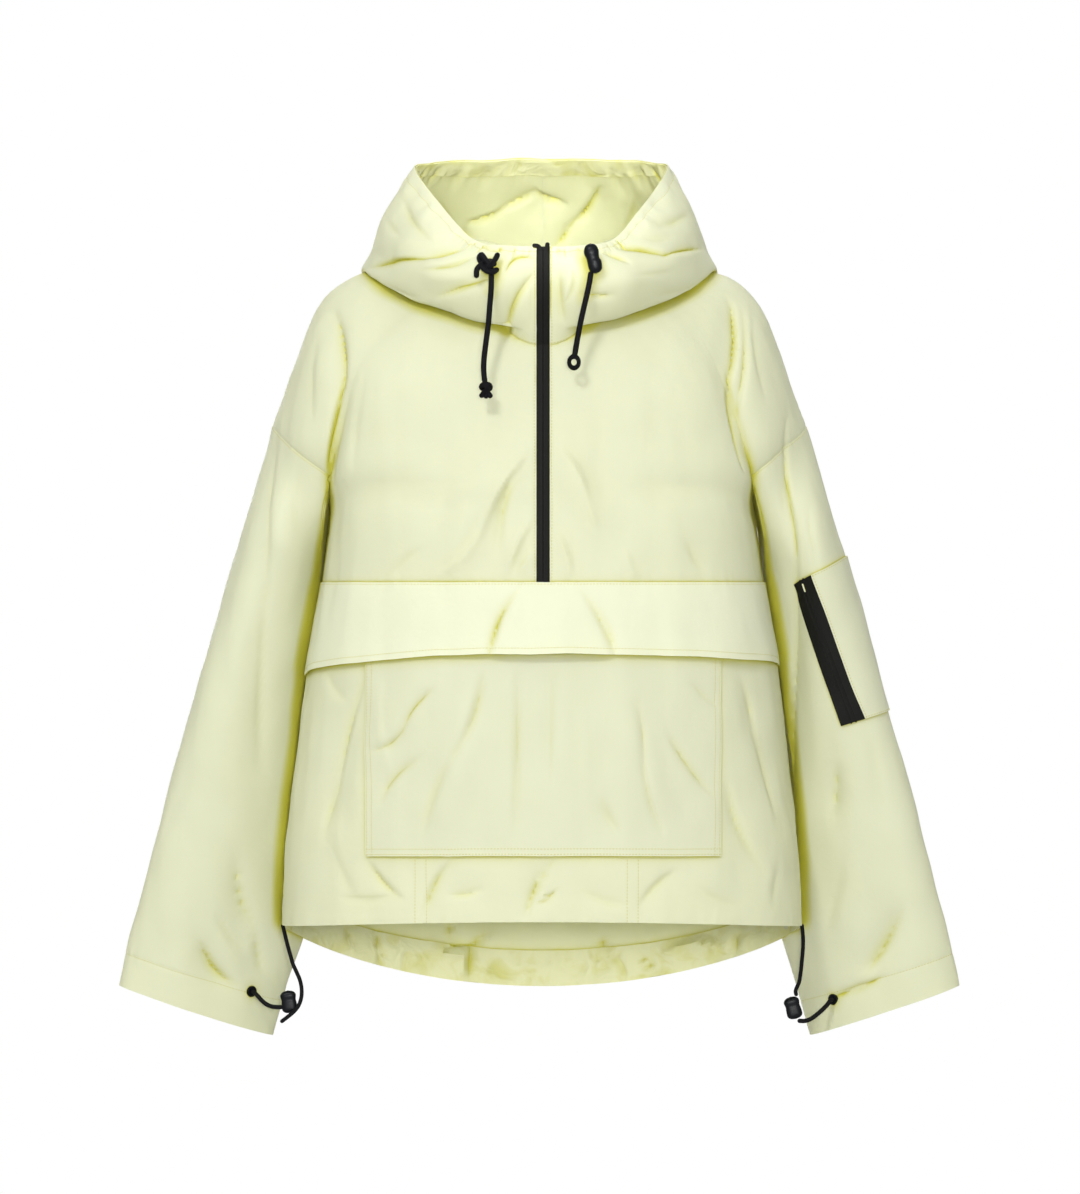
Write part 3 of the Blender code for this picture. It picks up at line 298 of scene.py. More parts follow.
def clothMaterial(name, finish):
    material, tree, shader = shaderTree(name, Roughness=finish["roughness"], Sheen_Weight=finish["sheen"],
                                        Sheen_Roughness=0.45, Specular_IOR_Level=0.45)
    place, solid = (addNode(tree, "TexCoord").outputs[kind] for kind in ("UV", "Object"))
    # long slubs along the thread and soft clouds choose between the colour and its shade
    stretch = addNode(tree, "Mapping", Vector=place, Scale=(*finish["slub"], 1.0))
    slub = addNode(tree, "TexNoise", Vector=stretch.outputs[0], Scale=1.0, Detail=3.0, Roughness=0.65)
    cloud = addNode(tree, "TexNoise", Vector=solid, Scale=1.0 / finish["cloud"], Detail=2.0)
    share = maths(tree, "ADD", maths(tree, "MULTIPLY", slub.outputs["Fac"], finish["slubShare"]),
                  maths(tree, "MULTIPLY", cloud.outputs["Fac"], 1 - finish["slubShare"]))
    colour = mixColours(tree, share, finish["shade"], finish["colour"])
    # painted shade: folds and overlaps are mixed toward a deeper yellow where near cloth shuts off the open,
    # up to the given reach, standing in for the shade and bounced light in them
    shut = addNode(tree, "AmbientOcclusion", samples=6, Distance=finish["reach"])
    near = maths(tree, "SUBTRACT", 1 - finish["clear"], shut.outputs["AO"])
    near = maths(tree, "MULTIPLY", near, finish["tint"], clamp=True)
    crumple = addNode(tree, "TexNoise", Vector=solid, Scale=1.0 / finish["crumple"], Detail=2.5,
                      Roughness=0.5, Distortion=0.6).outputs["Fac"]
    if "paintedHollowShade" in finish:  # painted shade: gathered cloth is mixed toward the deeper yellow in the hollows of its crumple noise
        hollow = maths(tree, "SUBTRACT", 0.52, crumple)
        near = maths(tree, "MAXIMUM", near, maths(tree, "MULTIPLY", hollow, finish["paintedHollowShade"], clamp=True))
    plug(tree, shader.inputs["Base Color"], mixColours(tree, near, colour, finish["fold"]))
    broad = addNode(tree, "Bump", Height=crumple, Strength=0.5, Distance=finish["crumpleDepth"])
    fine = addNode(tree, "Bump", Height=wovenBump(tree, finish["pitch"], place), Normal=broad.outputs[0],
                   Strength=0.6, Distance=finish["weaveDepth"])
    plug(tree, shader.inputs["Normal"], fine.outputs[0])
    # thin cloth lets some light through; the colour let through takes the same painted shade in folds and
    # overlaps
    glow = addNode(tree, "BsdfTranslucent", Color=mixColours(tree, near, finish["through"], finish["fold"]))
    plug(tree, tree.nodes["Material Output"].inputs["Surface"],
         mixShaders(tree, finish["passing"], shader.outputs[0], glow.outputs[0]))
    return material


def blackMaterial(name, colour, roughness, pitch=None, depth=0.0):
    # black finish: woven or braided where pitch is given, else with a fine grain
    material, tree, shader = shaderTree(name, Roughness=roughness, Sheen_Weight=0.0, Specular_IOR_Level=0.12)
    place = addNode(tree, "TexCoord")
    mottle = addNode(tree, "TexNoise", Vector=place.outputs["Object"], Scale=600.0, Detail=3.0).outputs["Fac"]
    dark, light = (tuple(share * c for c in colour) for share in (0.55, 1.45))
    plug(tree, shader.inputs["Base Color"], mixColours(tree, mottle, dark, light))
    height = mottle
    if pitch:
        slanted = addNode(tree, "Mapping", Vector=place.outputs["UV"], Rotation=(0, 0, math.radians(38)))
        height = wovenBump(tree, pitch, slanted.outputs[0])
    bump = addNode(tree, "Bump", Height=height, Strength=0.7, Distance=depth)
    plug(tree, shader.inputs["Normal"], bump.outputs[0])
    return material


lemonCloth = clothMaterial("lemonCloth", clothFinish)
# a lighter copy of the cloth for the chest flap: painted light on its panel, which faces up toward the light
litFlapFinish = dict(clothFinish, colour=(0.865, 0.893, 0.690), shade=(0.830, 0.856, 0.610), passing=0.26)
litFlapCloth = clothMaterial("lemonFlapLit", litFlapFinish)
# a brighter, more see-through copy of the cloth for the casings inside: painted light where they lie in
# shade, with painted shade in the hollows of its crumple
litInnerFinish = dict(clothFinish, colour=(0.930, 0.950, 0.660), shade=(0.900, 0.920, 0.560),
                   through=(0.960, 0.972, 0.600), passing=0.42, crumple=24 * mm, crumpleDepth=12 * mm,
                   paintedHollowShade=2.2)
litInnerCloth = clothMaterial("lemonInnerLit", litInnerFinish)
# thread in a deeper yellow, with only a weak painted shade near other cloth
threadFinish = dict(clothFinish, colour=(0.66, 0.63, 0.24), shade=(0.56, 0.53, 0.16), passing=0.1, tint=0.3)
lemonThread = clothMaterial("lemonThread", threadFinish)
braidedCord = blackMaterial("braidedCord", (0.004, 0.004, 0.005), 0.62, pitch=1.1 * mm, depth=0.25 * mm)
zipTape = blackMaterial("zipTape", (0.006, 0.006, 0.005), 0.55, pitch=0.6 * mm, depth=0.06 * mm)
mouldedBlack = blackMaterial("mouldedBlack", (0.004, 0.005, 0.006), 0.36, depth=0.03 * mm)
print("finishes made")


# Cords, each on its route from where it comes out to its end

cordForms = dict(hood=5.5 * mm, cuff=4.5 * mm, hem=4.0 * mm)
hoodRoutes = dict(
    right=((-0.0505, -0.1418, 0.0175), (-0.0505, -0.1423, 0.0090), (-0.0512, -0.1426, -0.0030),
           (-0.0522, -0.1423, -0.0150), (-0.0532, -0.1416, -0.0280), (-0.0548, -0.1408, -0.0410),
           (-0.0564, -0.1400, -0.0530), (-0.0577, -0.1394, -0.0650), (-0.0580, -0.1390, -0.0760),
           (-0.0572, -0.1388, -0.0848)),
    left=((0.0466, -0.1404, 0.0186), (0.0454, -0.1406, 0.0110), (0.0436, -0.1407, 0.0020),
          (0.0416, -0.1404, -0.0070), (0.0395, -0.1400, -0.0160), (0.0372, -0.1396, -0.0260),
          (0.0350, -0.1390, -0.0370), (0.0330, -0.1384, -0.0480), (0.0310, -0.1378, -0.0600)),
)
cuffRoutes = dict(
    right=((-0.2932, 0.0274, -0.6930), (-0.2904, 0.0229, -0.6937), (-0.2868, 0.0190, -0.6965),
           (-0.2825, 0.0160, -0.7010), (-0.2775, 0.0135, -0.7050), (-0.2720, 0.0115, -0.7072),
           (-0.2670, 0.0103, -0.7078), (-0.2626, 0.0100, -0.7078)),
    left=((0.2917, 0.0252, -0.7011), (0.2886, 0.0209, -0.7020), (0.2850, 0.0175, -0.7060),
          (0.2800, 0.0148, -0.7108), (0.2740, 0.0128, -0.7158), (0.2680, 0.0112, -0.7198),
          (0.2625, 0.0102, -0.7216), (0.2570, 0.0100, -0.7216)),
)
hemRoutes = dict(
    right=((-0.2600, -0.0030, -0.6256), (-0.2580, -0.0034, -0.6340), (-0.2553, -0.0030, -0.6450),
           (-0.2525, -0.0022, -0.6550), (-0.2500, -0.0010, -0.6640), (-0.2465, 0.0002, -0.6720),
           (-0.2432, 0.0014, -0.6800), (-0.2415, 0.0024, -0.6890), (-0.2420, 0.0030, -0.6985),
           (-0.2450, 0.0032, -0.7065), (-0.2500, 0.0032, -0.7125), (-0.2560, 0.0034, -0.7175),
           (-0.2612, 0.0040, -0.7215)),
    left=((0.2588, -0.0030, -0.6256), (0.2598, -0.0030, -0.6350), (0.2600, -0.0020, -0.6450),
          (0.2594, 0.0000, -0.6550), (0.2586, 0.0025, -0.6650), (0.2576, 0.0052, -0.6750),
          (0.2560, 0.0078, -0.6840), (0.2538, 0.0096, -0.6890), (0.2530, 0.0100, -0.6920),
          (0.2536, 0.0100, -0.6950)),
)


def addTubes(name, strands, material, slot, replaces=()):
    grids = [tubeGrid(smoothRoute(route, 0.35 * radius), radius) for route, radius in strands]
    return addMesh(name, *surfaceMesh(grids), material, slot, replaces, sharp=60)


def addCord(name, route, diameter, node, farEnd, lay, withPieces=()):
    path = smoothRoute(route, 0.30 * diameter)
    tube = surfaceMesh([tubeGrid(path, diameter / 2, steps=16)])
    piece = addMesh(name, *tube, braidedCord, "cord", (node,), 60)
    return piece


# the knots are short strands about each knot's middle: x, y and z in millimetres from it
knotStrands = dict(
    hoodKnot=dict(middle=(-0.0520, -0.1412, 0.0285), radius=2.75 * mm, strands=(
        ((1.5, 0, -13), (1.6, -1, -6), (-1.5, -2.5, 0), (-5.5, -2, 5.5), (-8.2, -0.5, 8.8), (-10.3, 1.5, 6.0),
         (-8.0, 1.5, 0.5), (-2.0, -3.6, -3.4), (3.0, -4.0, 0.5), (5.5, -2.0, 4.5), (7.3, -0.5, 8.2)),
        ((6.5, 2.0, -6.0), (2.5, -3.6, -8.6), (-4.0, -4.6, -6.6), (-8.0, -1.5, -1.5), (-4.0, 2.5, 2.0),
         (4.0, 2.5, 0.0)),
        ((-5.0, 1.0, -1.0), (-9.5, -0.5, -2.0), (-12.6, -1.0, -6.0), (-13.0, -1.0, -11.5)),
    )),
    endKnot=dict(middle=(-0.0560, -0.1388, -0.0935), radius=2.6 * mm, strands=(
        ((-1.0, 0, 9.0), (-0.5, -2.2, 5.0), (3.4, -2.6, 3.6), (4.2, 0.5, 0.6), (-1.0, 2.5, -0.8),
         (-4.2, 0.5, 1.6), (-2.6, -2.8, 3.6), (2.0, -3.2, 0.5), (-1.0, -1.5, -3.0), (-3.9, 0.0, -6.6)),
        ((0.5, 1.0, -1.0), (2.0, 0.0, -4.0), (4.3, 0.0, -6.8)),
        ((0.0, 0.4, -1.0), (0.2, 0.2, -4.0), (0.3, 0.2, -7.2)),
    )),
)


def addKnot(name, form, node):
    strands = [(np.array(strand) * mm + form["middle"], form["radius"]) for strand in form["strands"]]
    return addTubes(name, strands, braidedCord, "cord", (node,))


endRing = dict(middle=(0.0302, -0.1378, -0.0676), radius=5.0 * mm, wire=2.2 * mm, wide=0.94, high=1.12)


def addRing(name, form, node):
    # a slightly oval ring in the plane of the front: a small circle carried round a large one
    turn, small = fullTurn(40)[:, None, None], fullTurn(16)[None, :, None]
    outward = np.cos(turn) * np.array((form["wide"], 0, 0)) + np.sin(turn) * np.array((0, 0, form["high"]))
    deep = np.array((0, 1.0, 0)) * form["wire"] * np.sin(small)
    grid = np.array(form["middle"]) + outward * (form["radius"] + form["wire"] * np.cos(small)) + deep
    return addMesh(name, *surfaceMesh([grid]), braidedCord, "cord", (node,), 60)


def barrelGrid(form):
    # a rounded block: at each share of its height an oblong with round corners, by the power rule
    # |x/a|^n + |y/b|^n = 1, whose halves a and b and whose middle come from the form's sections
    sections = np.array(form["sections"], float)
    share = np.linspace(0, 1, 30)
    rows = through(sections[:, 0], sections[:, 1:], share, held=True)
    turn = fullTurn(40)
    power = 2 / form["squareness"]
    across = np.sign(np.cos(turn)) * np.abs(np.cos(turn)) ** power
    deep = np.sign(np.sin(turn)) * np.abs(np.sin(turn)) ** power
    cap = np.sqrt(np.clip(1 - np.abs(2 * share - 1) ** form["endRoundness"], 0, 1))
    x = rows[:, 0:1] + rows[:, 1:2] * cap[:, None] * across
    y = rows[:, 2:3] * cap[:, None] * deep
    z = np.broadcast_to(form["height"] * (0.5 - share)[:, None], x.shape)
    lean = math.radians(form["lean"])
    grid = stacked(x * math.cos(lean) + z * math.sin(lean), y, z * math.cos(lean) - x * math.sin(lean))
    return grid * np.array((1.0, -1.0, 1.0)) + form["middle"]


# sections: share of the height from the top, shift of the middle, half width and half depth
cordLock = dict(middle=(0.0482, -0.1405, 0.0335), height=30 * mm, lean=-9, squareness=2.4, endRoundness=5,
                sections=((0.0, 0.0, 6.6 * mm, 5.2 * mm), (0.28, 0.0, 7.4 * mm, 5.6 * mm),
                          (0.50, 0.6 * mm, 6.3 * mm, 5.0 * mm), (0.60, 1.4 * mm, 6.9 * mm, 5.4 * mm),
                          (0.85, 1.6 * mm, 7.0 * mm, 5.4 * mm), (1.0, 1.2 * mm, 6.4 * mm, 5.0 * mm)))
stopperForm = dict(height=23 * mm, squareness=3.2, endRoundness=7, sections=(
    (0.0, 0.0, 6.6 * mm, 3.8 * mm), (0.22, 0.0, 8.0 * mm, 4.5 * mm), (0.42, 0.0, 7.2 * mm, 4.1 * mm),
    (0.55, 0.0, 7.6 * mm, 4.4 * mm), (0.80, 0.0, 7.9 * mm, 4.5 * mm), (1.0, 0.0, 6.8 * mm, 4.0 * mm)))
stopperPlaces = dict(right=((-0.2545, 0.0100, -0.7025), -8), left=((0.2505, 0.0100, -0.7085), -15))


def addBlock(name, form, node):
    return addMesh(name, *surfaceMesh([barrelGrid(form)]), mouldedBlack, "trim", (node,), 50)


def addCords():
    hoodKnot = addKnot("hoodKnot", knotStrands["hoodKnot"], "hood_knot_right")
    endKnot = addKnot("hoodCordEndKnot", knotStrands["endKnot"], "hood_cord_end_right")
    addCord("hoodCordRight", hoodRoutes["right"], cordForms["hood"], "hood_cord_right", "knot", "hanging",
            (hoodKnot, endKnot))
    lock = addBlock("hoodCordLock", cordLock, "hood_lock_left")
    ring = addRing("hoodCordRing", endRing, "hood_cord_ring_left")
    addCord("hoodCordLeft", hoodRoutes["left"], cordForms["hood"], "hood_cord_left", "fitting", "hanging",
            (lock, ring))
    for side in ("right", "left"):
        middle, lean = stopperPlaces[side]
        form = dict(stopperForm, middle=middle, lean=lean)
        stopper = addBlock(f"stopper{side.title()}", form, f"stopper_{side}")
        addCord(f"cuffCord{side.title()}", cuffRoutes[side], cordForms["cuff"], f"cuff_cord_{side}",
                "fitting", "hanging", (stopper,))
        ending = ("bare", "hanging") if side == "right" else ("fitting", "hanging", (stopper,))
        addCord(f"hemCord{side.title()}", hemRoutes[side], cordForms["hem"], f"hem_cord_{side}", *ending)


addCords()
print("cords laid")

# The skin

levels = dict(hem=-0.614, hemCasing=-0.587, pocketFoot=-0.5495, pocketTop=-0.306, chestSeam=-0.2825,
              armpit=-0.215, armhole=-0.185, neck=-0.050)
body = dict(zipHalf=0.0065, pocketHalf=0.1735, pocketShare=0.789, sleeveJoin=0.19, sleeveClear=0.0045,
            sway=0.0035, sleeveAxis=(0.27, 0.0, -0.963), sleevePocket=(0.248, 0.513), cuffStitch=0.944,
            hoodCasing=0.945, neckMiddle=-0.010, belowBody=-0.625)
# how close the skin's points stand: metres, shares of a length, or spans between two lines
fineness = dict(step=3.0 * mm, arm=6, inner=62, outer=44, back=58, hood=0.0130, sleeve=0.0050, seam=1.2 * mm)
layer = 1.9 * mm  # from the middle of one layer of cloth to the middle of the next

# rings of the front by their height at the centre; the edge is the side seam, the armhole, and then the fold
# between chest and arm
frontColumns = ("level", "centreY", "edgeX", "edgeY", "edgeZ", "turn", "crease", "fullness")
frontRings = (
    (-0.6140, -0.150, 0.2595, 0.000, -0.6250, 90, 0.0, 0.34),
    (-0.5495, -0.149, 0.2560, 0.000, -0.5540, 90, 0.0, 0.34),
    (-0.4500, -0.146, 0.2440, 0.000, -0.4510, 90, 0.0, 0.35),
    (-0.3575, -0.142, 0.2320, 0.001, -0.3575, 90, 0.0, 0.38),
    (-0.2825, -0.137, 0.2200, 0.003, -0.2825, 90, 0.0, 0.42),
    (-0.2150, -0.130, 0.2125, 0.010, -0.2150, 90, 0.0, 0.51),
    (-0.1850, -0.126, 0.2090, -0.050, -0.1780, 86, 1.0, 0.20),
    (-0.1500, -0.121, 0.2005, -0.071, -0.1380, 60, 0.7, 0.19),
    (-0.1150, -0.116, 0.1850, -0.080, -0.0850, 40, 0.3, 0.26),
    (-0.0800, -0.1135, 0.1450, -0.072, -0.0280, 34, 0.0, 0.30),
    (-0.0500, -0.109, 0.0680, -0.062, 0.0080, 50, 0.0, 0.33),
)
backColumns = ("level", "centreY", "centreZ", "edgeX", "edgeY", "edgeZ", "turn", "crease", "fullness")
backRings = (
    (-0.6140, 0.140, -0.6950, 0.2595, 0.000, -0.6250, 90, 0.0, 0.34),
    (-0.5495, 0.139, -0.6080, 0.2560, 0.000, -0.5540, 90, 0.0, 0.34),
    (-0.4500, 0.136, -0.4750, 0.2440, 0.000, -0.4510, 90, 0.0, 0.34),
    (-0.3575, 0.132, -0.3600, 0.2320, 0.001, -0.3575, 90, 0.0, 0.35),
    (-0.2825, 0.128, -0.2825, 0.2200, 0.003, -0.2825, 90, 0.0, 0.37),
    (-0.2150, 0.124, -0.2150, 0.2125, 0.010, -0.2150, 90, 0.0, 0.41),
    (-0.1850, 0.123, -0.1750, 0.2090, 0.062, -0.1780, 86, 1.0, 0.25),
    (-0.1500, 0.121, -0.1250, 0.2030, 0.086, -0.1380, 60, 0.7, 0.24),
    (-0.1150, 0.117, -0.0720, 0.1870, 0.090, -0.0800, 40, 0.3, 0.28),
    (-0.0800, 0.106, -0.0180, 0.1480, 0.078, -0.0200, 34, 0.0, 0.30),
    (-0.0500, 0.085, 0.0350, 0.0700, 0.050, 0.0460, 50, 0.0, 0.33),
)
# the line over the shoulder, from the tip of the armhole to the neck
shoulderColumns = ("level", "x", "y", "z")
shoulderLine = (
    (-0.1850, 0.2665, 0.015, -0.1250), (-0.1500, 0.2535, 0.012, -0.0900), (-0.1150, 0.2340, 0.008, -0.0350),
    (-0.0975, 0.2175, 0.005, -0.0010), (-0.0800, 0.1925, 0.003, 0.0200), (-0.0500, 0.0880, -0.005, 0.0500),
)
# rings of the sleeve by the share of its length: outermost and innermost points and half the depth
sleeveColumns = ("along", "outX", "outY", "outZ", "inX", "inY", "inZ", "halfDepth")
sleeveRings = (
    (0.00, 0.2665, 0.015, -0.125, 0.2125, 0.010, -0.215, 0.078),
    (0.15, 0.2890, 0.012, -0.205, 0.2165, 0.040, -0.262, 0.080),
    (0.30, 0.3130, 0.010, -0.285, 0.2180, 0.064, -0.325, 0.075),
    (0.45, 0.3385, 0.010, -0.375, 0.2210, 0.076, -0.412, 0.067),
    (0.62, 0.3660, 0.012, -0.470, 0.2270, 0.078, -0.510, 0.058),
    (0.80, 0.3935, 0.016, -0.575, 0.2380, 0.074, -0.622, 0.048),
    (0.92, 0.4110, 0.020, -0.641, 0.2590, 0.068, -0.690, 0.041),
    (1.00, 0.4210, 0.022, -0.6865, 0.2725, 0.064, -0.739, 0.037),
)
# angles from the outer line of the sleeve's twelve guide lines; bow is taken off the front ones halfway down
# the pocket, so that the zip stays straight
sleeveAngles = dict(
    top=(0, 18, 38, 59, 81, 108, 120, 131, 142, 154, 167, 180),
    foot=(0, 13, 26, 39, 53, 77, 97, 119, 140, 154, 167, 180),
    bow=(0, 0, 0, 0, 0, 3, 2, 1, 0, 0, 0, 0),
    back=(0, 17, 34, 51, 68, 86, 104, 122, 140, 154, 167, 180),
)
# sections of the hood by their angle round the neck: where it leaves the neck, folds over, its fullest line,
# the stretch above, and the rim
hoodHeights = (0.0, 0.12, 0.30, 0.50, 0.78, 1.0)
hoodSections = (
    (0, (0.000, -0.112, -0.040), (0.000, -0.116, -0.024), (0.000, -0.1225, -0.002), (0.000, -0.1275, 0.026),
     (0.000, -0.126, 0.046)),
    (22, (0.034, -0.106, -0.030), (0.037, -0.1135, -0.029), (0.038, -0.130, -0.002), (0.038, -0.133, 0.028),
     (0.034, -0.125, 0.047)),
    (48, (0.072, -0.076, 0.012), (0.089, -0.092, -0.017), (0.096, -0.115, 0.010), (0.084, -0.113, 0.038),
     (0.068, -0.103, 0.054)),
    (70, (0.090, -0.046, 0.042), (0.144, -0.055, 0.008), (0.145, -0.071, 0.036), (0.122, -0.074, 0.066),
     (0.094, -0.068, 0.083)),
    (92, (0.100, -0.005, 0.066), (0.1700, -0.006, 0.0295), (0.1660, -0.006, 0.049), (0.1515, -0.004, 0.088),
     (0.1255, 0.004, 0.1295)),
    (118, (0.095, 0.040, 0.070), (0.164, 0.070, 0.012), (0.158, 0.072, 0.048), (0.138, 0.062, 0.095),
     (0.112, 0.040, 0.1400)),
    (145, (0.062, 0.078, 0.062), (0.122, 0.142, -0.030), (0.118, 0.150, 0.022), (0.098, 0.122, 0.090),
     (0.074, 0.062, 0.1445)),
    (180, (0.000, 0.098, 0.052), (0.000, 0.172, -0.052), (0.000, 0.180, 0.008), (0.000, 0.140, 0.090),
     (0.000, 0.070, 0.1465)),
)
gathers = dict(count=13, depth=3.0 * mm, fineCount=31, fineDepth=1.1 * mm, start=0.84)


def readRings(table, columns, at):
    # rows of a ring table; below the armpit front and back share one side seam
    at = np.asarray(at, float)
    ring = readTable(table, columns, at)
    seam = readTable([row[:5] for row in frontRings[:6]], frontColumns[:5], np.minimum(at, levels["armpit"]))
    for column in ("edgeX", "edgeY", "edgeZ"):
        ring[column] = np.where(at <= levels["armpit"], seam[column], ring[column])
    return ring


def ringHandles(ring, centreZ, back):
    # ends and handles of the arcs from centre line to edge: level at the centre, along turn at the edge
    toward = -1.0 if back else 1.0
    centre = stacked(np.zeros_like(centreZ), ring["centreY"], centreZ)
    edge = stacked(ring["edgeX"], ring["edgeY"], ring["edgeZ"])
    turn = np.radians(ring["turn"])
    reach = ring["fullness"] * np.linalg.norm((edge - centre)[:, :2], axis=1)
    near = centre + stacked(0.60 * ring["edgeX"], 0.0, 0.0)
    fall = 0.22 * (ring["edgeZ"] - centreZ)
    far = edge - stacked(reach * np.cos(turn), toward * reach * np.sin(turn), fall)
    return centre, near, far, edge


def frontHalf(at):
    # front from its centre line: to the zip's edge, evenly to the pocket's side, and on to the edge
    ring = readRings(frontRings, frontColumns, at)
    handles = ringHandles(ring, at, back=False)
    pocketX = np.where(at <= levels["chestSeam"] + 1e-6, body["pocketHalf"],
                       body["pocketShare"] * ring["edgeX"])
    dense = np.linspace(0, 1, 401)
    x = bezierArcs(*handles, np.tile(dense, (len(at), 1)))[:, :, 0]
    columns = []
    for row in range(len(at)):
        inner = np.linspace(body["zipHalf"], pocketX[row], fineness["inner"] + 1)
        t = np.interp(np.concatenate([[0.0], inner]), x[row], dense)
        columns.append(np.concatenate([t, np.linspace(t[-1], 1, fineness["outer"] + 1)[1:]]))
    return bezierArcs(*handles, np.array(columns))


def backHalf(at):
    ring = readRings(backRings, backColumns, at)
    t = np.tile(np.linspace(1, 0, fineness["back"] + 1), (len(at), 1))
    return bezierArcs(*ringHandles(ring, ring["centreZ"], back=True), t)


def armCap(at, back):
    # arcs over the arm's top, from the fold in front to the shoulder line, and from there to the fold behind
    side = 1.0 if back else -1.0
    ring = readRings(*((backRings, backColumns) if back else (frontRings, frontColumns)), at)
    _, _, far, edge = ringHandles(ring, ring["centreZ"] if back else at, back)
    line = readTable(shoulderLine, shoulderColumns, at)
    shoulder = stacked(line["x"], line["y"], line["z"])
    span = np.linalg.norm(shoulder - edge, axis=1, keepdims=True)
    onward = (edge - far) / np.linalg.norm(edge - far, axis=1, keepdims=True)
    crease = ring["crease"][:, None]
    near = edge + 0.35 * span * (onward * (1 - crease) + np.array((0.62, side * 0.56, 0.55)) * crease)
    away = shoulder + span * np.array((0.0, side * 0.42, -0.10))
    t = np.tile(np.linspace(0, 1, 8 * fineness["arm"] + 1), (len(at), 1))
    grid = bezierArcs(edge, near, away, shoulder, t)
    return grid[:, ::-1] if back else grid


def torsoReach(y, z):
    # half width of the torso at a depth and height: two-way linear between widths read from its rings
    at = np.linspace(levels["hem"], levels["armpit"], 24)
    depths = np.linspace(-0.16, 0.15, 125)
    t = np.tile(np.linspace(0, 1, 61), (len(at), 1))
    front, back = readRings(frontRings, frontColumns, at), readRings(backRings, backColumns, at)
    before = bezierArcs(*ringHandles(front, at, back=False), t)
    behind = bezierArcs(*ringHandles(back, back["centreZ"], back=True), t)[:, ::-1]
    widths = np.array([np.interp(depths, ring[:, 1], ring[:, 0], left=0.0, right=0.0)
                       for ring in np.hstack([before, behind])])
    row = np.interp(z, front["edgeZ"], np.arange(len(at)))
    column = np.interp(y, depths, np.arange(len(depths)))
    i, j = np.minimum(row.astype(int), len(at) - 2), np.minimum(column.astype(int), len(depths) - 2)
    u, v = row - i, column - j
    return ((1 - u) * ((1 - v) * widths[i, j] + v * widths[i, j + 1])
            + u * ((1 - v) * widths[i + 1, j] + v * widths[i + 1, j + 1]))


def plainSleeve(along):
    # ovals between the outermost and innermost lines: middle + cosine x half width + sine x half depth
    steps = 11 * fineness["arm"]
    line = np.concatenate([np.linspace(11, 0, steps + 1), np.linspace(0, 11, steps + 1)[1:]])
    top, foot = body["sleevePocket"]
    low = np.clip((along - top) / (foot - top), 0, 1)[:, None]
    turn = {name: np.interp(line, np.arange(12), angles) for name, angles in sleeveAngles.items()}
    front = (1 - low) * turn["top"] + low * turn["foot"]
    front -= np.sin(math.pi * low) * turn["bow"]
    before = np.arange(len(line)) <= steps
    angle = np.radians(np.where(before, -front, turn["back"]))[..., None]
    ring = readTable(sleeveRings, sleeveColumns, along)
    outer = stacked(ring["outX"], ring["outY"], ring["outZ"])[:, None]
    inner = stacked(ring["inX"], ring["inY"], ring["inZ"])[:, None]
    deep = ring["halfDepth"][:, None, None] * np.array((0.0, 1.0, 0.0))
    grid = (outer + inner) / 2 + np.cos(angle) * (outer - inner) / 2 + np.sin(angle) * deep
    clear = torsoReach(grid[..., 1], grid[..., 2]) + body["sleeveClear"]
    grid[..., 0] = np.maximum(grid[..., 0], np.where(grid[..., 2] < body["belowBody"], 0.0, clear))
    return grid


def sleeveGrid(armhole, onward, along):
    # from the armhole's points to the cuff: a cubic blend over the first share, which leaves half along the
    # arm and half onward from the shoulder, and plain ovals below
    plain = plainSleeve(along)
    join, step = body["sleeveJoin"], 0.01
    joint, past = plainSleeve(np.array([join, join + step]))
    length = np.linalg.norm(joint - armhole, axis=1, keepdims=True)
    leave = (0.5 * np.array(body["sleeveAxis"]) + 0.5 * onward) * length
    arrive = (past - joint) / step * join
    upper = along < join
    u = (along[upper] / join)[:, None, None]
    plain[upper] = ((1 + 2 * u) * (1 - u) ** 2 * armhole + u * (1 - u) ** 2 * leave
                    + u * u * (3 - 2 * u) * joint + u * u * (u - 1) * arrive)
    return plain


def hoodHalf(neck, heights):
    # from the neck's points up to the rim, by cubics round the neck and then up each column
    turn = np.degrees(np.arctan2(neck[:, 0], body["neckMiddle"] - neck[:, 1]))
    angles = np.array([row[0] for row in hoodSections], float)
    mirrored = np.concatenate([-angles[1:2], angles, 360 - angles[-2:-1]])
    flip = np.array((-1.0, 1.0, 1.0))
    lines = [neck]
    for column in range(1, len(hoodHeights)):
        points = np.array([row[column] for row in hoodSections])
        lines.append(through(mirrored, np.vstack([points[1:2] * flip, points, points[-2:-1] * flip]), turn))
    lines = np.array(lines)
    lines[1:, 0, 0] = neck[0, 0]  # the front edge runs straight up beside the zip
    lines[1:, -1, 0] = 0.0
    flat = through(hoodHeights, lines.reshape(len(hoodHeights), -1), heights)
    return flat.reshape(len(heights), len(neck), 3)


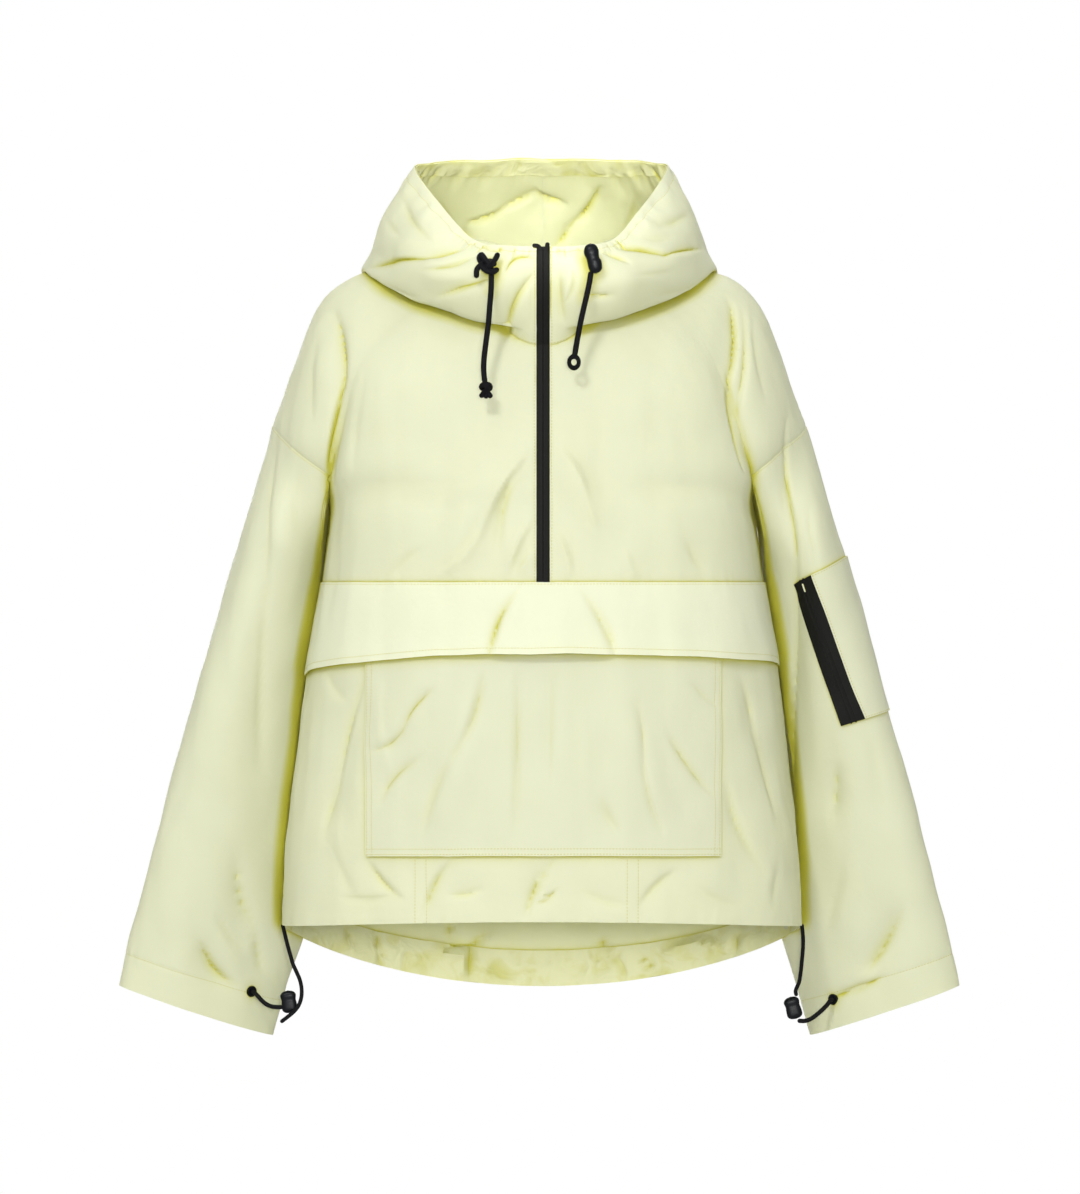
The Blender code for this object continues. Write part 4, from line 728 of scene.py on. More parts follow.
# Creases by the way their cloth faces: x and z of the start, then of the end; bow, how far the middle leans
# to the crease's right; width; and depth, below zero for a trough.  First the broad ones, which the solids
# have too, in metres.
broadFolds = dict(
    front=(
        (-0.209, -0.010, -0.201, -0.150, -0.006, 0.014, -0.0065),
        (0.187, -0.005, 0.197, -0.150, 0.006, 0.014, -0.0065),
        (-0.106, -0.372, -0.164, -0.450, 0.004, 0.018, 0.0055),
        (-0.060, -0.372, -0.112, -0.520, -0.006, 0.022, 0.0075),
        (-0.176, -0.380, -0.214, -0.525, 0.004, 0.018, -0.0065),
        (0.198, -0.380, 0.230, -0.510, -0.004, 0.018, -0.0065),
        (0.090, -0.400, 0.115, -0.520, 0.004, 0.020, 0.0065),
        (-0.018, -0.155, -0.096, -0.270, 0.012, 0.018, 0.0060),
        (0.018, -0.150, 0.054, -0.225, 0.004, 0.016, 0.0045),
        (-0.303, -0.560, -0.287, -0.680, 0.003, 0.015, -0.0060),
        (-0.343, -0.645, -0.306, -0.690, 0.004, 0.014, -0.0060),
        (0.292, -0.460, 0.289, -0.520, 0.000, 0.016, -0.0050),
        (0.357, -0.610, 0.322, -0.676, -0.004, 0.014, -0.0060),
        (-0.275, -0.140, -0.284, -0.460, 0.002, 0.015, -0.0055),
        (0.255, -0.120, 0.252, -0.500, 0.003, 0.015, -0.0065),
        (-0.177, 0.038, -0.083, 0.051, 0.002, 0.011, -0.0060),
        (0.157, 0.053, 0.071, 0.052, 0.004, 0.011, -0.0060),
        (-0.108, 0.004, -0.055, 0.019, 0.002, 0.010, -0.0045),
    ),
    back=(
        (-0.160, -0.060, -0.060, -0.190, 0.012, 0.022, 0.0070),
        (0.145, -0.050, 0.065, -0.200, -0.012, 0.022, 0.0065),
        (-0.190, -0.240, -0.105, -0.400, 0.012, 0.022, -0.0070),
        (0.185, -0.230, 0.115, -0.420, -0.012, 0.022, -0.0065),
        (-0.055, -0.460, -0.090, -0.650, 0.008, 0.022, -0.0065),
        (0.025, -0.440, 0.050, -0.660, -0.008, 0.022, 0.0065),
        (0.145, -0.440, 0.185, -0.600, -0.006, 0.020, -0.0065),
        (-0.330, -0.330, -0.300, -0.470, 0.006, 0.018, -0.0060),
        (0.335, -0.360, 0.300, -0.480, -0.006, 0.018, -0.0060),
        (-0.370, -0.600, -0.320, -0.690, 0.004, 0.016, -0.0060),
        (0.360, -0.590, 0.325, -0.690, -0.004, 0.016, -0.0060),
    ),
)
# Then the narrow ones, in millimetres, all made deeper by the same share
broadShare = 0.75  # of the broad creases' depth
sharpness = 2.5
blunt = 0.25  # how rounded the bottom of a narrow crease is, as a share of its width
lean = 0.35  # how much steeper one flank of a narrow crease is
narrowFolds = dict(
    shoulders=("front", (
        (-203, -14, -195, -90, -5, 4.5, -2.6), (-195, -80, -208, -185, 3, 4.0, -2.4),
        (190, -2, 188, -84, -6, 4.0, -2.8), (188, -78, 201, -172, 2, 3.6, -2.6),
        (203, -12, 195, -118, -5, 4.5, -2.0), (212, -10, 224, -100, 3, 6.0, -1.2),
        (-222, -40, -226, -120, 3, 6.0, -1.2),
    )),
    chest=("front", (
        (-17, -156, -62, -233, 4, 6.0, 1.8), (-58, -228, -97, -274, -5, 6.0, 1.6),
        (-13, -223, -35, -271, 2, 5.0, 1.5), (-11, -256, -22, -274, 1, 4.0, 1.2),
        (17, -152, 44, -206, -4, 6.0, 1.6), (44, -206, 53, -230, 0, 5.0, 1.0),
        (13, -234, 27, -276, -2, 5.0, 1.4), (141, -241, 158, -272, 2, 5.0, -1.0),
        (-30, -172, -44, -250, 3, 8.0, -1.4), (-120, -250, -150, -276, 2, 6.0, -0.9),
        (80, -252, 92, -277, 1, 5.0, 0.8), (-170, -70, -186, -200, 3, 10.0, -0.9),
    )),
    pocket=("front", (
        (-108, -388, -137, -428, 3, 5.0, -1.8), (-135, -426, -165, -448, -3, 5.0, -1.6),
        (-121, -455, -160, -500, 5, 6.0, -1.6), (-58, -372, -84, -450, -4, 9.0, -2.2),
        (-84, -446, -118, -530, 3, 10.0, -2.0), (-24, -370, -27, -530, 0, 8.0, -1.3),
        (8, -370, 6, -480, 0, 7.0, -1.1), (91, -402, 97, -468, -2, 7.0, -1.4),
        (96, -460, 116, -528, 3, 7.0, -1.5), (122, -432, 166, -492, 3, 6.0, -1.7),
        (56, -494, 74, -528, 1, 7.0, -1.2), (143, -378, 172, -406, 2, 5.0, -1.0),
        (-160, -384, -150, -470, 3, 7.0, 0.8), (36, -390, 44, -500, -2, 12.0, 0.8),
    )),
    sides=("front", (
        (-176, -379, -205, -488, 4, 5.0, -1.6), (-203, -480, -217, -530, 1, 5.0, -1.4),
        (197, -379, 212, -432, -2, 5.0, -1.4), (211, -430, 230, -512, -2, 5.0, -1.6),
        (179, -481, 219, -570, 5, 6.0, -1.8), (-214, -372, -196, -400, 2, 6.0, -1.0),
        (-208, -540, -186, -590, 2, 7.0, -1.0), (232, -560, 226, -600, 0, 6.0, -1.0),
    )),
    foot=("front", (
        (-172, -556, -138, -592, 3, 5.0, -1.8), (-92, -556, -115, -606, 4, 5.0, -1.8),
        (8, -556, -17, -607, 3, 4.5, -1.9), (128, -566, 96, -596, 3, 5.0, -1.4),
        (-3, -597, 12, -583, 0, 2.6, -1.5), (-92, -588, -60, -582, 2, 5.0, -1.2),
        (-196, -592, -150, -590, 2, 5.0, -1.0), (40, -584, 80, -598, 2, 6.0, -1.1),
        (150, -580, 190, -600, 3, 7.0, -0.9),
    )),
    sleeves=("front", (
        (-303, -557, -286, -632, 4, 4.5, -1.8), (-286, -630, -281, -676, 0, 4.0, -1.6),
        (-339, -642, -304, -688, 4, 4.0, -2.2), (-322, -610, -300, -650, 3, 6.0, -1.2),
        (361, -610, 324, -674, -5, 4.5, -2.0), (342, -677, 297, -698, -3, 3.6, -1.8),
        (335, -682, 294, -702, 3, 3.2, -1.8), (295, -464, 292, -521, 0, 5.0, -1.4),
        (-262, -130, -272, -300, 4, 6.0, -1.2), (-272, -290, -280, -470, 2, 6.0, -1.2),
        (246, -120, 252, -300, 2, 5.0, -1.8), (252, -290, 249, -520, 2, 5.0, -1.6),
        (268, -205, 272, -270, 1, 6.0, -1.2), (-300, -230, -330, -330, 5, 12.0, -0.9),
        (322, -420, 340, -520, -4, 10.0, -0.9), (-350, -480, -380, -560, 4, 12.0, -0.9),
        (300, -560, 285, -640, -3, 8.0, -1.2), (-262, -560, -258, -640, 1, 6.0, -1.2),
    )),
    hood=("front", (
        (-170, 31, -118, 37, -2, 4.0, -2.4), (-120, 37, -78, 46, 1, 3.8, -2.2),
        (-118, 24, -66, 37, 2, 4.0, -1.6), (-104, -2, -50, 16, 2, 4.0, -2.0),
        (-139, 101, -112, 56, 3, 7.0, -1.8), (-152, 78, -140, 60, 1, 5.0, -1.0),
        (74, 47, 126, 40, -3, 3.8, -2.6), (122, 40, 162, 50, -1, 3.8, -2.4), (58, 41, 84, 31, -1, 4.0, -1.8),
        (38, -1, 68, -2, 1, 4.0, -1.6), (112, 72, 148, 84, 3, 7.0, -1.8), (100, 60, 132, 62, 2, 5.0, -0.8),
        (-11, 17, -38, -44, 4, 6.0, -2.4), (-9, 35, -37, 20, 8, 3.4, -1.5), (15, 18, 20, -28, 2, 8.0, -1.8),
        (30, 24, 22, -10, -3, 5.0, -1.2), (-60, 46, -36, 40, 0, 4.0, -1.0), (-150, 8, -118, -2, 2, 5.0, -1.2),
        (150, 10, 112, 0, -2, 5.0, -1.2), (92, 20, 130, 24, 2, 6.0, -1.0),
    )),
    hoodInside=("back", (
        (-76, 85, -40, 99, 2, 3.6, 2.6), (-42, 99, -8, 114, 1, 3.6, 2.4), (-9, 115, 22, 104, 2, 4.5, 3.4),
        (58, 120, 28, 83, -3, 3.4, 2.6), (29, 84, 10, 56, -1, 3.4, 2.2), (-84, 78, -72, 64, 0, 4.0, 1.8),
        (-104, 104, -90, 82, 2, 4.0, 1.8), (96, 110, 84, 76, -2, 6.0, 1.6),
    )),
    back=("back", (
        (-150, -80, -70, -170, 8, 7.0, 1.8), (140, -70, 70, -190, -8, 7.0, 1.8),
        (-180, -250, -110, -390, 10, 6.0, -1.8), (178, -240, 118, -400, -10, 6.0, -1.8),
        (-60, -480, -88, -640, 6, 6.0, -1.6), (30, -450, 48, -640, -6, 6.0, 1.6),
        (150, -460, 182, -600, -5, 6.0, -1.8), (-170, -470, -205, -620, 5, 6.0, -1.6),
        (-10, -230, -4, -420, 2, 12.0, -1.2), (-40, -620, -64, -680, 3, 5.0, -1.6),
        (90, -600, 112, -660, -3, 5.0, -1.4), (-325, -340, -302, -460, 5, 6.0, -1.8),
        (330, -370, 302, -470, -5, 6.0, -1.8), (-365, -610, -325, -680, 4, 5.0, -2.0),
        (356, -600, 328, -680, -4, 5.0, -2.0), (-205, -60, -215, -170, -3, 4.0, -2.2),
        (203, -60, 213, -170, 3, 4.0, -2.2), (60, -300, 40, -420, -4, 10.0, 1.0),
    )),
    hemInside=("back", (
        (-96, -630, -90, -650, 1, 3.0, 2.6), (-62, -636, -78, -656, -3, 3.6, 2.4),
        (-76, -652, -104, -660, 1, 3.6, 2.0), (-75, -652, -75, -690, 0, 4.0, 3.0),
        (58, -641, 69, -666, 1, 3.2, 2.2), (97, -661, 117, -682, 1, 3.4, 2.2),
        (128, -660, 186, -654, -8, 4.5, -3.0), (-118, -650, -84, -664, 2, 4.0, -2.2),
        (-170, -634, -160, -668, 2, 5.0, 2.4), (-30, -640, -22, -676, 1, 5.0, 1.6),
        (10, -650, 44, -684, 2, 6.0, 1.4), (-200, -630, -190, -655, 1, 5.0, 2.0),
        (200, -636, 196, -660, 1, 5.0, 2.0), (-64, -668, -40, -682, 2, 4.0, 1.6),
    )),
    hoodBack=("back", (
        (-120, 60, -40, 30, 6, 9.0, -3.0), (110, 70, 50, 20, -6, 9.0, -3.0), (-30, 0, 40, 8, 5, 9.0, -2.6),
        (-90, 0, -50, -20, 3, 8.0, -2.4), (96, 4, 60, -22, -3, 8.0, -2.4),
    )),
)


def creaseHeight(points, normals, side, rows, scale=1.0, lip=0.0):
    # sum of creases, fading at both ends: a bell across each one or, with lip, a sharper line whose slope
    # drops by the exponential of the distance, with one flank steeper
    height = np.zeros(len(points))
    flat = points[:, [0, 2]]
    way = 1 if side == "back" else -1
    for n, (x0, z0, x1, z1, bow, width, depth) in enumerate(rows):
        start, end = np.array((x0, z0)) * scale, np.array((x1, z1)) * scale
        bow, width, depth = bow * scale, width * scale, depth * scale
        room = 3.2 * width + abs(bow)
        low, high = np.minimum(start, end) - room, np.maximum(start, end) + room
        near = np.flatnonzero(((flat > low) & (flat < high)).all(axis=1))
        run = end - start
        held = np.clip((flat[near] - start) @ run / (run @ run), 0, 1)
        aside = np.array((run[1], -run[0])) / np.linalg.norm(run)
        centre = start + held[:, None] * run + (bow * np.sin(math.pi * held))[:, None] * aside
        offset = flat[near] - centre
        away = np.linalg.norm(offset, axis=1) / width
        if lip:
            away = np.sqrt(1.7 * (np.sqrt(away ** 2 + blunt ** 2) - blunt))
        steep = 1 + lip * (1 if n % 2 else -1) * np.tanh(offset @ aside / width)
        faces = np.clip(normals[near, 1] * way * 2.5 + 0.1, 0, 1)
        fade = np.sin(math.pi * np.clip(held * 0.86 + 0.07, 0, 1)) ** 0.8
        height[near] += depth * faces * fade * np.exp(-(away * steep) ** 2)
    return height


def softNoise(points, size, seed, stretch=(1.0, 1.0, 1.0)):
    # uneven rolling height between about -1 and 1: eight sine waves of about this size in seeded directions
    random = np.random.default_rng(seed)
    ways = random.normal(size=(8, 3))
    ways *= (2 * math.pi / size / np.linalg.norm(ways, axis=1) * random.uniform(0.7, 1.4, 8))[:, None]
    return np.sin(points * np.array(stretch) @ ways.T + random.uniform(0, 6.28, 8)).sum(axis=1) / 4


# wave lengths and depths of the cloth's rolling, and how much faster it goes round than up
rumple = dict(waves=((95 * mm, 1.0 * mm), (38 * mm, 0.45 * mm), (24 * mm, 0.10 * mm)),
              stretch=(1.5, 1.5, 0.6))


def rumpleHeight(points):
    return sum(depth * softNoise(points, size, seed, rumple["stretch"])
               for seed, (size, depth) in enumerate(rumple["waves"], 3))


grooveHalf = 1.2 * mm


def seamHeight(points, seams):
    # beside a seam: a groove, and puckers whose wave runs along the seam and dies away from it
    height = np.zeros(len(points))
    for n, (line, groove, pucker, pitch, spread) in enumerate(seams):
        low, high = line.min(axis=0) - 3 * spread, line.max(axis=0) + 3 * spread
        near = np.flatnonzero(((points > low) & (points < high)).all(axis=1))
        run = runLength(line, 0)
        for chunk in np.array_split(near, max(1, len(near) * len(line) // 4000000 + 1)):
            if len(chunk) == 0:
                continue
            apart = np.linalg.norm(points[chunk, None] - line[None], axis=2)
            closest = apart.argmin(axis=1)
            away = apart[np.arange(len(chunk)), closest]
            s = run[closest]
            wave = np.sin(2 * math.pi * s / pitch + 1.6 * np.sin(2 * math.pi * s / (3.3 * pitch) + n))
            uneven = 0.6 + 0.4 * np.sin(2 * math.pi * s / (7.7 * pitch) + 2 * n)
            height[chunk] += pucker * wave * uneven * np.exp(-(away / spread) ** 2)
            height[chunk] -= groove * np.exp(-(away / grooveHalf) ** 2)
    return height


def denser(line, spacing=1.5 * mm):
    run = runLength(line, 0)
    keep = np.concatenate([[True], np.diff(run) > 1e-7])
    even = np.linspace(0, run[-1], max(2, int(run[-1] / spacing)))
    return np.stack([np.interp(even, run[keep], line[keep, k]) for k in range(3)], axis=1)


def skinRows():
    # heights of the body's rows and shares of the sleeve's and hood's, each seam with a row at and beside it
    edge = fineness["seam"]
    at = levels
    lower = spaced([at["hem"], at["hemCasing"] - edge, at["hemCasing"], at["hemCasing"] + edge,
                    at["pocketFoot"], at["pocketTop"], at["chestSeam"] - edge, at["chestSeam"]],
                   fineness["step"])
    middle = spaced([at["chestSeam"], at["chestSeam"] + edge, at["armpit"]], fineness["step"])
    armRows = [at["armpit"], -0.205, -0.195, at["armhole"]]
    arm = np.interp(np.arange(3 * fineness["arm"] + 1) / fineness["arm"], range(4), armRows)
    yoke = spaced([at["armhole"], -0.150, -0.115, -0.080, at["neck"] - edge / 2, at["neck"]],
                  0.7 * fineness["step"])
    cuff, rim = body["cuffStitch"], body["hoodCasing"]
    along = spaced([0, 0.003, body["sleeveJoin"], *body["sleevePocket"], cuff - 0.0022, cuff, cuff + 0.0022,
                    1.0], fineness["sleeve"])
    heights = spaced([0, 0.010, *hoodHeights[1:-1], rim - 0.008, rim, rim + 0.008, 1.0], fineness["hood"])
    return lower, middle, arm, yoke, along, heights


def makeSkin():
    # every half piece on one net of shared edges, mirrored, then moved along its normals by all the heights
    lower, middle, arm, yoke, along, heights = skinRows()
    upper = np.concatenate([middle, arm[1:], yoke[1:]])
    half = dict(frontLower=frontHalf(lower), frontUpper=frontHalf(upper), capFront=armCap(yoke, False),
                capBack=armCap(yoke, True), back=backHalf(np.concatenate([lower, upper[1:]])))
    first, pit = len(upper) - len(yoke), len(middle) - 1
    behind = half["back"][len(lower) - 1 + pit:len(lower) - 1 + first, 0][::-1]
    armhole = np.vstack([half["frontUpper"][pit:first, -1], half["capFront"][0, :-1], half["capBack"][0],
                         behind])
    caps = np.hstack([half["capFront"][:2, :-1], half["capBack"][:2]])
    fall = caps[0] - caps[1]
    onward = np.tile(np.array(body["sleeveAxis"]), (len(armhole), 1))
    onward[first - pit:first - pit + len(fall)] = fall / np.linalg.norm(fall, axis=1, keepdims=True)
    half["sleeve"] = sleeveGrid(armhole, onward, along)[::-1]
    neck = np.vstack([half["frontUpper"][-1, 1:], half["capFront"][-1, 1:], half["capBack"][-1, 1:],
                      half["back"][-1, 1:]])
    half["hood"] = hoodHalf(neck, heights)
    collar = half["hood"][:, 0]
    centreLine = collar * np.array((0.0, 1.0, 1.0))
    half["zip"] = np.vstack([half["frontUpper"][:, 0:2], np.stack([centreLine, collar], axis=1)[1:]])

    skin = {}
    for name, grid in half.items():
        skin[name + "Left"] = grid
        skin[name + "Right"] = mirrorGrid(grid)
    points, faces, _, index, _ = mergeGrids(list(skin.values()))
    starts = dict(zip(skin, np.cumsum([0] + [grid.shape[0] * grid.shape[1] for grid in skin.values()])))
    own = {name: index[starts[name]:starts[name] + grid.shape[0] * grid.shape[1]].reshape(grid.shape[:2])
           for name, grid in skin.items()}
    smooth = pointNormals(points, faces)
    height = sum(broadShare * creaseHeight(points, smooth, *group) for group in broadFolds.items())
    for side, folds in narrowFolds.values():
        height += sharpness * creaseHeight(points, smooth, side, folds, mm, lip=lean)
    height += rumpleHeight(points)
    height += seamHeight(points, skinSeams(points, own, lower, along, heights))
    seamless = np.ones(len(points))
    for side in sides:
        seamless[own["zip" + side]] = 0.0
    points = points + smooth * (height * seamless)[:, None]
    points = gatherCasing(points, own, heights)
    # both arms sway a little to the wearer's right: beyond the torso and, higher up, over the shoulder
    begin = np.interp(points[:, 2], (-0.25, -0.12), (0.235, 0.08))
    points[:, 0] -= body["sway"] * np.clip((np.abs(points[:, 0]) - begin) / 0.08, 0, 1)
    normals = pointNormals(points, faces)
    sheets = {name: (points[at], normals[at]) for name, at in own.items()}
    return sheets, dict(lower=lower, along=along[::-1], heights=heights)


def skinSeams(points, own, lower, along, heights):
    # each seam's line, with its groove, pucker, wave length and spread
    seams = []
    for side in sides:
        grid = {name: points[own[name + side]]
                for name in ("frontLower", "frontUpper", "back", "sleeve", "hood", "capBack")}
        front, back, sleeve, hood, upper = (grid[name] for name in
                                            ("frontLower", "back", "sleeve", "hood", "frontUpper"))
        inner, outer, zipColumn = (0, -1, 1) if side == "Left" else (-1, 0, -2)
        for line, groove, pucker, pitch, spread in (
                (front[0], 0.3, 0.45, 17, 9),
                (back[nearest(lower, levels["hemCasing"])], 0.5, 0.45, 14, 8),
                (sleeve[nearest(along[::-1], body["cuffStitch"])], 0.5, 0.40, 13, 8),
                (sleeve[-1], 0.6, 0.30, 11, 7),
                (hood[nearest(heights, body["hoodCasing"])], 0.4, 0.35, 9, 6),
                (hood[0], 0.5, 0.30, 12, 7),
                (upper[:, zipColumn], 0.2, 0.35, 15, 7),
                (upper[0], 0.4, 0.35, 12, 8),
                (back[:, inner], 0.4, 0.30, 16, 7),
                (hood[:, outer], 0.3, 0.25, 10, 6),
                (grid["capBack"][:, inner], 0.5, 0.2, 12, 6)):
            seams.append((denser(line), groove * mm, pucker * mm, pitch * mm, spread * mm))
    return seams


def gatherCasing(points, own, heights):
    # waves of the hood's gathered casing, largest on its lower edge, even in number and uneven in depth
    moved = points.copy()
    casing, start = body["hoodCasing"], gathers["start"]
    share = np.where(heights < casing, (heights - start) / (casing - start), (1.0 - heights) / (1.0 - casing))
    share = np.clip(share, 0, 1)
    share = share * share * (3 - 2 * share)
    for side in sides:
        grid = own["hood" + side]
        turn = np.linspace(0, 1, grid.shape[1])
        wave = np.sin(2 * math.pi * gathers["count"] * turn) * (0.65 + 0.35 * np.sin(9.0 * turn + 1.0))
        fine = np.sin(2 * math.pi * gathers["fineCount"] * turn + 2.0 * np.sin(17 * turn))
        calm = np.sin(math.pi * turn) ** 0.5
        outward = points[grid] - points[grid].mean(axis=1, keepdims=True)
        outward /= np.linalg.norm(outward, axis=2, keepdims=True)
        rise = (gathers["depth"] * wave + gathers["fineDepth"] * fine) * calm
        moved[grid] = points[grid] + outward * (share[:, None] * rise)[..., None]
    return moved


sheets, rows = makeSkin()
print("skin made")


# Cloth pieces

solidWall = 1.6 * mm
shellWall = 1.2 * mm


def part(sheet, rowRange=slice(None), columnRange=slice(None)):
    return sheet[0][rowRange, columnRange], sheet[1][rowRange, columnRange]


def clothShell(name, parts, node, outward=0.0, material=lemonCloth,
               slot="shell_cloth"):
    # a closed thin shell: outer and inner layers half a thickness to each side, with its outer face on the
    # solid's, and a wall along its border
    points, faces, corners, index, first = mergeGrids([grid for grid, _ in parts])
    normals = np.vstack([normal.reshape(-1, 3) for _, normal in parts])[first]
    lift = outward if np.isscalar(outward) else np.concatenate([o.ravel() for o in outward])[first][:, None]
    middle = points + normals * (lift + (solidWall - shellWall) / 2)
    uv = np.vstack([gridUv(grid).reshape(-1, 2) for grid, _ in parts])
    count = len(points)
    pairs = np.concatenate([np.stack([faces[:, k], faces[:, (k + 1) % 4]], axis=1) for k in range(4)])
    uvPairs = np.concatenate([np.stack([corners[:, k], corners[:, (k + 1) % 4]], axis=1) for k in range(4)])
    real = pairs[:, 0] != pairs[:, 1]
    pairs, uvPairs = pairs[real], uvPairs[real]
    start, end = pairs.astype(np.int64).T
    lone = ~np.isin(start * count + end, end * count + start)  # an edge that no quad uses the other way
    a, b = pairs[lone].T
    ua, ub = uvPairs[lone].T
    half = shellWall / 2
    allPoints = np.vstack([middle + normals * half, middle - normals * half])
    wall = np.stack([b, a, a + count, b + count], axis=1)
    allFaces = np.vstack([faces, faces[:, ::-1] + count, wall])
    step = np.array((0.0, shellWall))
    wallUv = np.stack([uv[ub], uv[ua], uv[ua] + step, uv[ub] + step], axis=1)
    allUv = np.concatenate([uv[corners], uv[corners][:, ::-1], wallUv])
    piece = addMesh(name, allPoints, allFaces, allUv, material, slot, (node,))


def rowsFrom(values, low, high):
    inside = np.flatnonzero((values > low - 1e-9) & (values < high + 1e-9))
    return slice(inside[0], inside[-1] + 1)


def addPanels():
    for side, zipColumns in (("Right", slice(None, -1)), ("Left", slice(1, None))):
        lowSide = side.lower()
        upper = part(sheets[f"frontUpper{side}"], slice(None), zipColumns)
        clothShell(f"frontUpper{side}Cloth", [upper, sheets[f"capFront{side}"]], f"front_upper_{lowSide}")
        clothShell(f"sleeve{side}Cloth", [sheets[f"sleeve{side}"]], f"sleeve_{lowSide}")
        clothShell(f"hood{side}Cloth", [sheets[f"hood{side}"]], f"hood_{lowSide}")
    clothShell("frontLowerCloth", [sheets[f"frontLower{side}"] for side in sides], "front_lower")
    clothShell("backCloth", [sheets[name + side] for side in sides for name in ("back", "capBack")], "back")


flap = dict(
    lowerEdge=-0.3528, dropRight=24.0 * mm, dropLeft=13.0 * mm, share=(0.0, 0.20, 0.45, 0.72, 1.0),
    off=(layer, 2.2 * layer, 3.0 * layer, 3.5 * layer, 8.5 * mm), bulge=5.5 * mm, wave=0.5 * mm, rows=24,
    folds=((-20, -283, -55, -364, 5, 4.2, -5.0), (33, -283, 73, -362, -3, 4.6, -4.4),
           (-30, -296, -46, -345, 4, 3.0, -1.6), (60, -318, 69, -348, 0, 5.0, -1.8),
           (-120, -300, -160, -350, 2, 12.0, -0.8), (130, -300, 150, -350, -2, 12.0, -0.8)),
)
pocket = dict(bag=1.2 * mm, footStand=1.4 * mm)


def flapSheet(side):
    # the front from the chest seam down to the flap's edge, standing further off as it falls
    grid, normal = sheets[f"frontLower{side}"]
    left = side == "Left"
    level = grid[:, 0 if left else -1, 2]
    count = grid.shape[1]
    acrossHalf = runLength(grid[-1:], 1)[0]
    spread = acrossHalf / acrossHalf[-1]
    spread = spread if left else 1 - spread
    share = np.linspace(0, 1, flap["rows"])[:, None]
    edge = flap["lowerEdge"] - flap["dropLeft" if left else "dropRight"] * spread ** 2.2
    height = levels["chestSeam"] - 0.3 * mm + share * (edge - levels["chestSeam"])
    order = np.argsort(level)
    at = np.interp(height, level[order], order.astype(float))
    low = np.clip(np.floor(at).astype(int), 0, len(level) - 2)
    mix = (at - low)[..., None]
    column = np.broadcast_to(np.arange(count), at.shape)
    point = (1 - mix) * grid[low, column] + mix * grid[low + 1, column]
    facing = (1 - mix) * normal[low, column] + mix * normal[low + 1, column]
    facing /= np.linalg.norm(facing, axis=2, keepdims=True)
    off = through(flap["share"], np.array(flap["off"])[:, None], share[:, 0], held=True)
    bulge = flap["bulge"] * share * np.exp(-(point[..., 0] / (0.030 + 0.035 * share)) ** 4)
    stand = layer + (off - layer) * (1 - spread ** 3)
    flat = point.reshape(-1, 3)
    crease = creaseHeight(flat, facing.reshape(-1, 3), "front", flap["folds"], mm, lip=0.3).reshape(at.shape)
    x = point[..., 0]
    wave = flap["wave"] * np.sin(x / 0.021 + 1.2 * np.sin(x / 0.05)) * share ** 2 * (1 - spread ** 4)
    point = point + facing * np.maximum(stand + bulge + crease * share ** 0.3 + wave, layer)[..., None]
    return point[::-1], facing[::-1]


def resetNormals(parts):
    # normals of sheets that were moved, worked out again across their shared edge
    points, faces, _, index, first = mergeGrids([grid for grid, _ in parts])
    normals = pointNormals(points, faces)[index]
    out, start = [], 0
    for grid, _ in parts:
        size = grid.shape[0] * grid.shape[1]
        out.append((grid, normals[start:start + size].reshape(grid.shape)))
        start += size
    return out


def addSewnOn():
    columns = sheets["frontLowerLeft"][0].shape[1]
    inner = fineness["inner"] + 2
    pocketRows = rowsFrom(rows["lower"], levels["pocketFoot"], levels["pocketTop"])
    parts, lifts = [], []
    for side, pocketColumns in (("Left", slice(0, inner)), ("Right", slice(columns - inner, None))):
        sheet = part(sheets[f"frontLower{side}"], pocketRows, pocketColumns)
        height = np.linspace(0, 1, sheet[0].shape[0])[:, None]
        across = np.abs(sheet[0][..., 0]) / body["pocketHalf"]
        lifts.append(layer + pocket["bag"] * np.sin(math.pi * height) ** 0.5 * np.clip(1 - across ** 6, 0, 1)
                     + pocket["footStand"] * np.exp(-height / 0.02) * np.clip(1 - across ** 8, 0, 1))
        parts.append(sheet)
    clothShell("frontPocketCloth", parts, "front_pocket",
               lifts)
    flapParts = resetNormals([flapSheet(side) for side in sides])
    # the flap wears the lighter copy of the cloth: painted light
    clothShell("chestFlapCloth", flapParts, "chest_flap",
               material=litFlapCloth)
    rim = rowsFrom(rows["heights"], body["hoodCasing"], 1.0)
    # the hood's casing and, below, the back hem's casing wear the brighter copy of the cloth: painted light
    # where they lie in shade
    clothShell("hoodCasingCloth", [part(sheets[f"hood{side}"], rim) for side in sides], "hood_casing",
               -layer, litInnerCloth)
    low = rowsFrom(rows["lower"], levels["hem"], levels["hemCasing"])
    clothShell("backHemCasingCloth", [part(sheets[f"back{side}"], low) for side in sides], "back_hem_casing",
               -layer, litInnerCloth)
    along = rowsFrom(rows["along"], *body["sleevePocket"])
    arm = fineness["arm"]
    patch = part(sheets["sleeveLeft"], along, slice(7 * arm, 12 * arm + 1))
    clothShell("sleevePocketCloth", [patch], "sleeve_pocket",
               layer)
    return dict(flap=flapParts, pocket=list(zip(parts, lifts)), patch=patch,
                sleeveZip=part(sheets["sleeveLeft"], along, slice(6 * arm, 7 * arm + 1)))


# a closed zip from its middle to its edge: shares of the half width and of the ridge's height
zipForm = dict(across=(0, 0.035, 0.10, 0.30, 0.46, 0.62, 0.96, 1.0), ridge=0.55 * mm, tape=0.9 * mm,
               rise=(0.1, 0.80, 1.0, 0.85, 0.42, 0.30, 0.30, 0.0))


def zipBand(line, aside, facing):
    # profile across a closed zip: flat tape, a low ridge each side of the middle and a groove between
    across, rise = np.array(zipForm["across"]), np.array(zipForm["rise"])
    across = np.concatenate([-across[:0:-1], across])[None, :, None]
    rise = np.concatenate([rise[:0:-1], rise])[None, :, None] * zipForm["ridge"]
    return line[:, None] + across * aside[:, None] + rise * facing[:, None]


